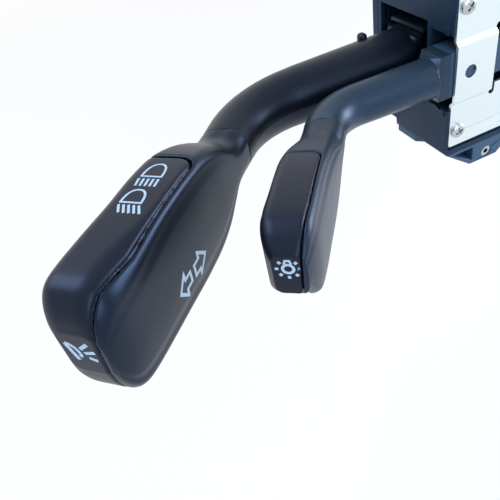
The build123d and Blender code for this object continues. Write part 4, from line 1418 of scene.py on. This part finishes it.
@dataclass
class SymbolSheet:
    """Pad-printed symbols of one face, laid on the paddle's surface as a thin film.

    Strokes are polylines in a flat drawing (u, v) in millimetres. The drawing's origin and
    its two directions are given in the part's frame, and the film is dropped on the surface
    along the drawing's normal.
    """

    name: str
    origin: tuple[float, float, float]
    u_dir: tuple[float, float, float]
    v_dir: tuple[float, float, float]
    down: tuple[float, float, float]
    strokes: list[tuple[list[tuple[float, float]], float, bool]] = field(default_factory=list)
    film: float = 0.03
    step: float = 0.35

    @classmethod
    def on(cls, paddle: Paddle, name: str, side: Side) -> SymbolSheet:
        """Lay a drawing on one side of a paddle.

        Args:
            paddle: The paddle.
            name: Name of the print.
            side: TOP draws in (s, w), FRONT in (s, z) and END in (w, z).

        Returns:
            An empty sheet.
        """
        base, *steps = {
            Side.TOP: ((0, 30, 0), (1, 0, 0), (0, 0, 1), (0, -1, 0)),
            Side.FRONT: ((0, 0, -20), (1, 0, 0), (0, 1, 0), (0, 0, 1)),
            Side.END: ((95, 0, 0), (0, 0, 1), (0, 1, 0), (-1, 0, 0)),
        }[side]
        origin = paddle.place(np.array([base], float))[0]
        ends = paddle.place(np.array(base, float) + np.array(steps, float)) - origin
        return cls(name, tuple(origin), *(tuple(end) for end in ends))

    def lens(self, apex: tuple[float, float], left: tuple[float, float],
             right: tuple[float, float], width: float) -> None:
        """Draw a lamp's outline: a flat face from left to right and a dome to the apex.

        Args:
            apex: Top of the dome.
            left: One end of the flat face.
            right: Its other end.
            width: Width of the line.
        """
        base = [np.array(left, float), np.array(right, float)]
        middle = (base[0] + base[1]) / 2
        up = np.array(apex, float) - middle
        across = (base[0] - base[1]) / 2
        points = []
        for i in range(25):
            angle = math.pi * i / 24
            c, s = math.cos(angle), math.sin(angle)
            points.append(tuple(middle + across * (abs(c) ** 0.85) * math.copysign(1, c)
                                + up * s ** 0.8))
        self.stroke(points, width, True)

    def arrow(self, tip: tuple[float, float], head: tuple[float, float],
              tail: tuple[float, float], width: float) -> None:
        """Draw an outlined block arrow along the first axis.

        Args:
            tip: The tip's point.
            head: Place of the head's base and its half width.
            tail: Place of the tail and its half width.
            width: Width of the line.
        """
        x, y = tip
        self.stroke([(x, y), (head[0], y + head[1]), (head[0], y + tail[1]),
                     (tail[0], y + tail[1]), (tail[0], y - tail[1]), (head[0], y - tail[1]),
                     (head[0], y - head[1])], width, True)

    def stroke(self, points: Sequence[tuple[float, float]], width: float,
               closed: bool = False) -> None:
        """Add a stroke of even width."""
        self.strokes.append((list(points), width, closed))

    def arc(self, centre: tuple[float, float], radius: float, start: float, end: float,
            width: float) -> None:
        """Add a round stroke from one angle to another.

        Args:
            centre: Centre of the circle.
            radius: Its radius.
            start: First angle in degrees.
            end: Last angle in degrees.
            width: Width of the line.
        """
        count = max(6, int(abs(end - start) / 9))
        closed = abs(end - start) >= 359.9
        angles = np.radians(np.linspace(start, end, count + 1))
        points = [(centre[0] + radius * math.cos(a), centre[1] + radius * math.sin(a))
                  for a in angles]
        self.stroke(points[:-1] if closed else points, width, closed)

    @staticmethod
    def resample(points: list[tuple[float, float]], closed: bool, step: float
                 ) -> list[np.ndarray]:
        """Split long sides of a polyline.

        Args:
            points: Its corners.
            closed: Whether it returns to its start.
            step: Greatest length wanted.

        Returns:
            Its corners and the points between them.
        """
        dense: list[np.ndarray] = []
        path = points + [points[0]] if closed else points
        for a, b in zip(path[:-1], path[1:]):
            p, q = np.array(a, float), np.array(b, float)
            count = max(1, int(np.linalg.norm(q - p) / step))
            dense += [p + (q - p) * i / count for i in range(count)]
        if not closed:
            dense.append(np.array(path[-1], float))
        return dense

    def ribbon(self, points: list[tuple[float, float]], width: float, closed: bool
               ) -> tuple[np.ndarray, list[list[int]]]:
        """Turn a stroke into a flat band of quads with mitred corners.

        Args:
            points: Its corners.
            width: Its width.
            closed: Whether it returns to its start.

        Returns:
            Points (u, v) and faces.
        """
        dense = self.resample(points, closed, self.step)
        count = len(dense)
        rows = []
        for i, p in enumerate(dense):
            before = dense[i - 1] if (i or closed) else p
            after = dense[(i + 1) % count] if (i < count - 1 or closed) else p
            a, b = p - before, after - p
            a = a / np.linalg.norm(a) if np.linalg.norm(a) > 1e-9 else b / np.linalg.norm(b)
            b = b / np.linalg.norm(b) if np.linalg.norm(b) > 1e-9 else a
            mean = a + b
            mean = mean / np.linalg.norm(mean)
            side = np.array([-mean[1], mean[0]])
            mitre = min(1.0 / max(float(mean @ b), 0.3), 1.8)
            rows.append([p - side * width / 2 * mitre, p, p + side * width / 2 * mitre])
        flat = np.array(rows).reshape(-1, 2)
        faces = []
        for i in range(count if closed else count - 1):
            j = (i + 1) % count
            for k in range(2):
                faces.append([3 * i + k, 3 * i + k + 1, 3 * j + k + 1, 3 * j + k])
        return flat, faces

    def build(self, surface: bpy.types.Object, material: bpy.types.Material
              ) -> bpy.types.Object:
        """Lay every stroke on a surface.

        Args:
            surface: The moulding that carries the print.
            material: The ink.

        Returns:
            A closed film at the origin.
        """
        tree = BVHTree.FromObject(surface, bpy.context.evaluated_depsgraph_get())
        origin, u, v, down = (
            np.array(a, float) for a in (self.origin, self.u_dir, self.v_dir, self.down))
        points: list[np.ndarray] = []
        faces: list[list[int]] = []
        missed = 0
        for stroke, width, closed in self.strokes:
            flat, quads = self.ribbon(stroke, width, closed)
            base = len(points)
            top = []
            for a, b in flat:
                start = origin + u * a + v * b
                hit, face_normal, _, _ = tree.ray_cast(
                    Vector(start * MM), Vector(down), 40 * MM)
                if hit is None:
                    missed += 1
                    hit, face_normal, _, _ = tree.find_nearest(Vector(start * MM))
                top.append((np.array(hit) / MM, np.array(face_normal)))
            points += [p + n * self.film for p, n in top]
            points += [p - n * self.film for p, n in top]
            count = len(flat)
            # Sides that only one quad has, kept in order.
            rim: dict[tuple[int, int], None] = {}
            for quad in quads:
                faces.append([base + i for i in quad])
                faces.append([base + count + i for i in reversed(quad)])
                for i, j in zip(quad, quad[1:] + quad[:1]):
                    if (j, i) in rim:
                        del rim[(j, i)]
                    else:
                        rim[(i, j)] = None
            for i, j in rim:
                faces.append([base + j, base + i, base + count + i, base + count + j])
        if missed:
            LOG.warning("%s: %d points missed the surface", self.name, missed)
        piece = mesh_piece(self.name, np.array(points), faces, material, smooth=False)
        outward(piece, merge_m=0.0)
        return piece


# --- Studio ---
@dataclass
class Studio:
    """Pale floor, soft lamps and the camera."""

    floor_z: float = -0.16
    camera_place: tuple[float, float, float] = (-181.4, -144.5, 96.1)
    camera_turn: tuple[float, float, float] = (-15.3, 41.9, -13.5)
    lens: float = 39.6
    sensor: float = 36.0
    shift: tuple[float, float] = (-0.001, 0.0022)
    floor_half: float = 3.0

    def camera(self) -> None:
        """Set the camera."""
        azimuth, elevation, roll = (math.radians(a) for a in self.camera_turn)
        back = Vector((math.sin(azimuth) * math.cos(elevation),
                       -math.cos(azimuth) * math.cos(elevation), math.sin(elevation)))
        right = (-back).cross(Vector((0, 0, 1))).normalized()
        up = right.cross(-back)
        across = right * math.cos(roll) + up * math.sin(roll)
        above = -right * math.sin(roll) + up * math.cos(roll)
        turn = Matrix((across, above, back)).transposed()
        data = bpy.data.cameras.new("camera")
        data.lens = self.lens
        data.sensor_width = self.sensor
        data.shift_x, data.shift_y = self.shift
        data.clip_start = 0.005
        data.clip_end = 20.0
        camera = linked("camera", data)
        camera.matrix_world = Matrix.Translation(
            Vector(self.camera_place) * MM) @ turn.to_4x4()
        bpy.context.scene.camera = camera

    def lamp(self, name: str, place: Point, target: Point, size: float, power: float,
             colour: str) -> None:
        """Add a soft square lamp that points at a target.

        Args:
            name: Name of the lamp.
            place: Its place in metres.
            target: The point it faces, in metres.
            size: Length of its side in metres.
            power: Its power in watts.
            colour: Its sRGB hex colour.
        """
        data = bpy.data.lights.new(name, "AREA")
        data.shape = "SQUARE"
        data.size = size
        data.energy = power
        data.color = linear(colour)[:3]
        lamp = linked(name, data)
        aim = Vector(target) - Vector(place)
        lamp.matrix_world = Matrix.Translation(Vector(place)) @ aim.to_track_quat(
            "-Z", "Y").to_matrix().to_4x4()

    @staticmethod
    def seen_rays(tree: bpy.types.NodeTree) -> bpy.types.NodeSocket:
        """Make a factor that is 1 for camera, glossy and transmission rays.

        Args:
            tree: Tree to add its nodes to.

        Returns:
            The factor's socket.
        """
        path = add_node(tree, "ShaderNodeLightPath")
        first = add_node(tree, "ShaderNodeMath", None,
                         {0: path.outputs["Is Camera Ray"], 1: path.outputs["Is Glossy Ray"]},
                         operation="MAXIMUM")
        both = add_node(tree, "ShaderNodeMath", None,
                        {0: first.outputs[0], 1: path.outputs["Is Transmission Ray"]},
                        operation="MAXIMUM")
        return both.outputs[0]

    def world(self) -> None:
        """Even pale sky; the camera and mirror-like faces see it as white."""
        world = bpy.data.worlds.new("pale sky")
        world.use_nodes = True
        tree = world.node_tree
        tree.nodes.clear()
        sky = add_node(tree, "ShaderNodeBackground",
                       {"Color": linear("#dfe9f5"), "Strength": 0.55})
        backdrop = add_node(tree, "ShaderNodeBackground",
                            {"Color": (1, 1, 1, 1), "Strength": 1.0})
        mix = add_node(tree, "ShaderNodeMixShader", None,
                       {0: self.seen_rays(tree), 1: sky.outputs[0], 2: backdrop.outputs[0]})
        add_node(tree, "ShaderNodeOutputWorld", None, {"Surface": mix.outputs[0]})
        bpy.context.scene.world = world

    def floor(self) -> None:
        """Lay the floor; it is white to the camera and keeps the object's soft shadow."""
        size, z = self.floor_half, self.floor_z
        mesh = bpy.data.meshes.new("floor")
        mesh.from_pydata([(-size, -size, z), (size, -size, z), (size, size, z),
                          (-size, size, z)], [], [(0, 1, 2, 3)])
        piece = linked("floor", mesh)
        mat, tree = fresh_material("white paper floor")
        coords = add_node(tree, "ShaderNodeTexCoord").outputs["Object"]
        away = add_node(tree, "ShaderNodeVectorMath", None, {0: coords}, operation="LENGTH")
        fade = add_node(tree, "ShaderNodeMapRange",
                        {"From Min": 0.35, "From Max": 1.1, "To Min": 0.72, "To Max": 1.0},
                        {"Value": away.outputs["Value"]})
        paper = add_node(tree, "ShaderNodeBsdfDiffuse", {"Color": linear("#f4f4f4")})
        glow = add_node(tree, "ShaderNodeEmission", {"Color": (1, 1, 1, 1), "Strength": 1.0})
        lift = add_node(tree, "ShaderNodeMixShader", None,
                        {0: fade.outputs["Result"], 1: paper.outputs[0], 2: glow.outputs[0]})
        mix = add_node(tree, "ShaderNodeMixShader", None,
                       {0: self.seen_rays(tree), 1: paper.outputs[0], 2: lift.outputs[0]})
        add_node(tree, "ShaderNodeOutputMaterial", None, {"Surface": mix.outputs[0]})
        mesh.materials.append(mat)

    def build(self) -> None:
        """Set the whole studio."""
        bpy.context.scene.view_settings.view_transform = "Standard"
        self.world()
        self.floor()
        self.camera()
        self.lamp("window", (-0.55, 0.35, 0.75), (-0.12, -0.02, 0), 0.6, 5.5, "#e4f0ff")
        self.lamp("front fill", (-0.12, -0.85, 0.46), (-0.12, -0.02, 0), 0.6, 5.0, "#eef5ff")
        self.lamp("right fill", (0.75, -0.10, 0.15), (-0.14, -0.02, 0), 0.45, 7.0, "#eef5ff")


# --- Sub-assemblies ---
def hand_over(piece: bpy.types.Object, body: str, slot: Slot, *nodes: str) -> None:
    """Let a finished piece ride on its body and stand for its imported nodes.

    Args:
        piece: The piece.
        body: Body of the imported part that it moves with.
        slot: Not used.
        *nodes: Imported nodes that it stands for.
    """
    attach(piece, body)
    if nodes:
        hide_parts(*nodes)
    LOG.info("%s rides on %s and stands for %s", piece.name, body, ", ".join(nodes) or "-")


@dataclass
class IndicatorStalk:
    """The long stalk: rod, paddle and horn push."""

    rod: Rod = field(default_factory=lambda: Rod(
        "indicator_rod", (-58.8, 25.4), (-124.0, 25.4), (-140.411, 7.615), 38.9, 10.45, 10.4,
        8.95))
    paddle: Paddle = field(default_factory=lambda: Paddle(
        "indicator_paddle_dressed", (-140.411, 7.615), 47.3,
        (
            (0.25, -8.95, 8.95, -8.95, 8.95, 8.85, 0.05),
            (6.0, -8.4, 8.93, -8.95, 8.95, 8.2, 0.1),
            (11.0, -8.8, 10.8, -8.9, 9.0, 7.4, 0.3),
            (16.0, -11.4, 13.8, -8.9, 9.1, 6.6, 0.6),
            (22.0, -14.7, 16.6, -8.9, 9.2, 5.6, 1.0),
            (30.0, -16.7, 18.8, -8.8, 9.4, 4.6, 1.3),
            (41.0, -16.9, 20.0, -8.8, 9.3, 4.0, 1.5),
            (53.0, -16.2, 20.6, -8.8, 9.1, 4.0, 1.5),
            (65.0, -15.6, 21.3, -8.75, 9.2, 4.0, 1.5),
            (76.0, -14.8, 21.7, -8.65, 9.2, 4.0, 1.5),
            (80.4, -14.0, 21.1, -8.3, 9.1, 4.0, 1.6),
            (83.2, -11.6, 19.1, -7.6, 8.4, 3.8, 1.3),
            (85.3, -7.0, 15.7, -6.6, 7.3, 3.4, 0.9),
            (86.4, -1.6, 11.9, -5.4, 6.1, 2.8, 0.5),
        ),
        -7.0, ((30.6, 14.9), (75.8, 18.6), (83.2, 11.4), (83.2, -1.0), (80.2, -20.0)),
        29.5, 1.25, hook_radius=5.0, strip_gap=0.42, crest=0.45, upper_crown=0.45,
        upper_power=4.0, lip_radius=3.2, tip_lip=(50.0, 78.0, 7.5)))
    root: RootBlock = field(default_factory=lambda: RootBlock(
        "indicator_root", (-59.4, 16.9, -9.1), (-40.0, 33.9, 9.1), 1.2))
    fin: RootBlock = field(default_factory=lambda: RootBlock(
        "indicator_fin", (-74.7, 27.6, 6.0), (-71.5, 31.4, 11.9), 1.4))

    def build(self, finishes: Finishes) -> None:
        """Build and hand over the stalk's pieces.

        Args:
            finishes: The shared finishes.
        """
        front = self.paddle.moulding(Half.FRONT, finishes.paddle_abs)
        back = self.paddle.moulding(Half.BACK, finishes.paddle_abs)
        push = self.paddle.moulding(Half.STRIP, finishes.strip_abs)
        self.print_symbols(front, push, finishes.ink)
        rod = joined("indicator_rod_dressed", finishes.rod_abs,
                     self.rod.build(finishes.rod_abs), self.root.build(), self.fin.build())
        hand_over(rod, "indicator_lever", Slot.GLOSS_BLACK, "indicator_stalk")
        hand_over(front, "indicator_lever", Slot.GLOSS_BLACK, "indicator_paddle_front")
        hand_over(back, "indicator_lever", Slot.GLOSS_BLACK, "indicator_paddle_back")
        hand_over(push, "horn_push", Slot.GLOSS_BLACK, "horn_push")

    def print_symbols(self, front: bpy.types.Object, push: bpy.types.Object,
                      ink: bpy.types.Material) -> None:
        """Print the lamp, direction and horn symbols.

        Args:
            front: The front shell.
            push: The strip.
            ink: The ink.
        """
        beams = SymbolSheet.on(self.paddle, "beam_symbols", Side.TOP)
        beams.lens((34.8, 1.2), (40.9, 3.9), (40.9, -1.9), 0.62)
        for i in range(5):
            beams.stroke([(42.0, 4.0 - 1.42 * i), (45.3, 3.5 - 1.37 * i)], 0.66)
        beams.lens((47.0, 1.2), (52.3, 3.9), (52.3, -1.9), 0.62)
        for i in range(5):
            beams.stroke([(53.3, 3.8 - 1.42 * i), (56.5, 2.2 - 1.45 * i)], 0.66)
        hand_over(beams.build(push, ink), "horn_push", Slot.GLOSS_BLACK)
        arrows = SymbolSheet.on(self.paddle, "direction_symbols", Side.FRONT)
        arrows.arrow((42.4, -4.4), (46.6, 3.9), (49.6, 1.9), 1.0)
        arrows.arrow((59.0, -3.9), (55.3, 3.9), (52.2, 1.7), 1.0)
        hand_over(arrows.build(front, ink), "indicator_lever", Slot.GLOSS_BLACK)
        horn = SymbolSheet.on(self.paddle, "horn_symbol", Side.END)
        horn.stroke([(4.4, 8.3), (2.9, 2.6)], 1.1)
        horn.stroke([(4.3, 8.5), (3.3, 8.2), (2.3, 7.2), (1.7, 5.7), (1.6, 4.6), (1.9, 3.8)],
                    0.9)
        horn.stroke([(0.9, 6.9), (-1.6, 9.0)], 1.0)
        horn.stroke([(0.3, 5.5), (-2.6, 6.3)], 1.0)
        horn.stroke([(-0.3, 4.0), (-2.3, 3.3)], 1.0)
        hand_over(horn.build(push, ink), "horn_push", Slot.GLOSS_BLACK)


@dataclass
class LightStalk:
    """The short stalk: rod and paddle with the lamp symbol."""

    rod: Rod = field(default_factory=lambda: Rod(
        "light_rod", (-63.4, 3.3), (-102.6, 5.2), (-110.829, -6.002), 21.0, 7.3, 7.15, 7.0))
    paddle: Paddle = field(default_factory=lambda: Paddle(
        "light_paddle_dressed", (-110.829, -6.002), 53.7,
        (
            (0.25, -7.0, 7.0, -7.0, 7.0, 6.9, 0.05),
            (5.0, -7.2, 7.08, -7.0, 7.03, 6.3, 0.1),
            (10.0, -8.8, 7.6, -6.75, 7.2, 5.6, 0.2),
            (15.0, -11.6, 9.0, -6.6, 7.8, 5.0, 0.5),
            (21.0, -14.0, 10.6, -6.5, 8.6, 4.2, 0.8),
            (28.0, -15.1, 12.0, -6.4, 9.0, 3.6, 1.0),
            (36.0, -15.1, 13.1, -6.3, 8.8, 3.4, 1.1),
            (45.0, -14.4, 13.9, -6.3, 8.6, 3.4, 1.1),
            (53.0, -13.2, 14.3, -6.2, 8.6, 3.4, 1.1),
            (57.1, -11.4, 14.1, -6.0, 8.2, 3.4, 1.0),
            (60.3, -7.8, 12.9, -5.4, 7.4, 3.4, 0.8),
            (62.8, -4.3, 11.0, -4.6, 6.2, 2.8, 0.6),
            (64.6, -3.5, 9.3, -3.8, 4.8, 2.2, 0.4),
        ),
        -3.3, ((25.0, 8.3), (54.0, 12.2), (61.7, 7.2), (61.7, -1.0), (57.7, -16.0)),
        24.7, 0.25, hook_radius=3.0, crest=0.5, upper_crown=1.3, upper_power=2.4,
        lip_radius=2.9, body_corner=3.6, seam_top=12.0, seam_turn=(50.0, 64.0, 0.5),
        seam_round=0.7, voxel=0.28))
    block: RootBlock = field(default_factory=lambda: RootBlock(
        "light_root", (-61.9, -1.1, -8.25), (-57.4, 9.2, 8.25), 0.15))

    def build(self, finishes: Finishes) -> None:
        """Build and hand over the stalk's pieces.

        Args:
            finishes: The shared finishes.
        """
        made = {}
        nodes = {Half.FRONT: "light_paddle_front", Half.BACK: "light_paddle_back",
                 Half.STRIP: "light_symbol_strip"}
        for half, node in nodes.items():
            finish = finishes.strip_abs if half is Half.STRIP else finishes.light_paddle_abs
            piece = self.paddle.moulding(half, finish)
            hand_over(piece, "light_lever", Slot.GLOSS_BLACK, node)
            made[half] = piece
        lamp = SymbolSheet.on(self.paddle, "lamp_symbol", Side.END)
        lamp.arc((0.8, 5.1), 1.35, 0, 360, 0.75)
        lamp.stroke([(1.65, 6.6), (1.3, 7.75), (0.25, 7.75), (-0.05, 6.6)], 0.6)
        for i in range(7):
            angle = math.radians(-90 + 45 * (i - 3))
            c, s = math.cos(angle), math.sin(angle)
            lamp.stroke([(0.8 + 2.35 * c, 5.1 + 2.35 * s), (0.8 + 3.25 * c, 5.1 + 3.25 * s)],
                        0.8)
        hand_over(lamp.build(made[Half.STRIP], finishes.ink), "light_lever", Slot.GLOSS_BLACK)
        neck = np.array(self.rod.root) - np.array(self.rod.corner)
        (block_x, front, _), (_, back, half_height) = self.block.low, self.block.high
        collar = FacetedCollar("light_collar", self.rod.root, (-neck[0], -neck[1]),
                               self.rod.root_radius, block_x, front, back, half_height)
        rod = joined("light_rod_dressed", finishes.light_rod_abs,
                     self.rod.build(finishes.light_rod_abs),
                     collar.build(), self.block.build())
        hand_over(rod, "light_lever", Slot.GLOSS_BLACK, "light_stalk")


@dataclass
class ColumnBlock:
    """The block on the steering column: plate, housing, bearings, screws and springs."""

    plate_screw_x: tuple[float, float] = (-52.6, -13.0)
    plate_screw_z: float = 23.0
    plate_face: float = -1.2
    cover_screw_x: tuple[float, float] = (-50.4, -11.5)
    cover_screw_z: float = 24.0
    cover_seat: float = 45.9
    light_spring: CoilSpring = field(default_factory=lambda: CoilSpring(
        "light_detent_spring_dressed", (-38.5, 5.0, 0.0), 7.0, 1.8))
    indicator_spring: CoilSpring = field(default_factory=lambda: CoilSpring(
        "indicator_detent_spring_dressed", (-37.5, 28.0, 0.0), 7.0, 1.8))

    def build(self, frame: dict, finishes: Finishes) -> None:
        """Build and hand over the block's dressed pieces.

        Args:
            finishes: The shared finishes.
        """
        dressed = (
            ("front_plate", 0.12, finishes.zinc, "housing", Slot.ZINC),
            ("switch_housing", 0.22, finishes.housing_nylon, "housing", Slot.HOUSING),
            ("terminal_block", 0.25, finishes.socket_nylon, "housing", Slot.HOUSING),
            ("rear_cover", 0.25, finishes.housing_nylon, "housing", Slot.HOUSING),
            ("light_hub", 0.20, finishes.bearing_nylon, "light_lever", Slot.ACETAL),
            ("indicator_rotor", 0.20, finishes.yoke_nylon, "indicator_rotor", Slot.ACETAL),
        )
        for node, edge, finish, body, slot in dressed:
            piece = EdgedPiece(node, edge).build(frame, finish)
            hand_over(piece, body, slot, node)
        front = tuple((x, self.plate_face, z) for x in self.plate_screw_x
                      for z in (-self.plate_screw_z, self.plate_screw_z))
        back = tuple((x, self.cover_seat, z) for x in self.cover_screw_x
                     for z in (-self.cover_screw_z, self.cover_screw_z))
        screws = ScrewSet("plate_screws_dressed", front, -1).build(finishes.screw_zinc)
        hand_over(screws, "housing", Slot.ZINC, "plate_screws")
        screws = ScrewSet("cover_screws_dressed", back, 1, seed=3).build(finishes.screw_zinc)
        hand_over(screws, "housing", Slot.ZINC, "cover_screws")
        for spring, body in ((self.light_spring, "light_lever"),
                             (self.indicator_spring, "indicator_rotor")):
            hand_over(spring.build(finishes.spring_wire), body, Slot.SPRING,
                      spring.name.removesuffix("_dressed"))


def main() -> None:
    """Build the whole switch."""
    logging.basicConfig(level=logging.INFO, format="%(name)s: %(message)s")
    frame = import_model()
    finishes = Finishes()
    finishes.dress(frame["nodes"])
    IndicatorStalk().build(finishes)
    LightStalk().build(finishes)
    ColumnBlock().build(frame, finishes)
    Studio().build()


if __name__ == "__main__":
    main()
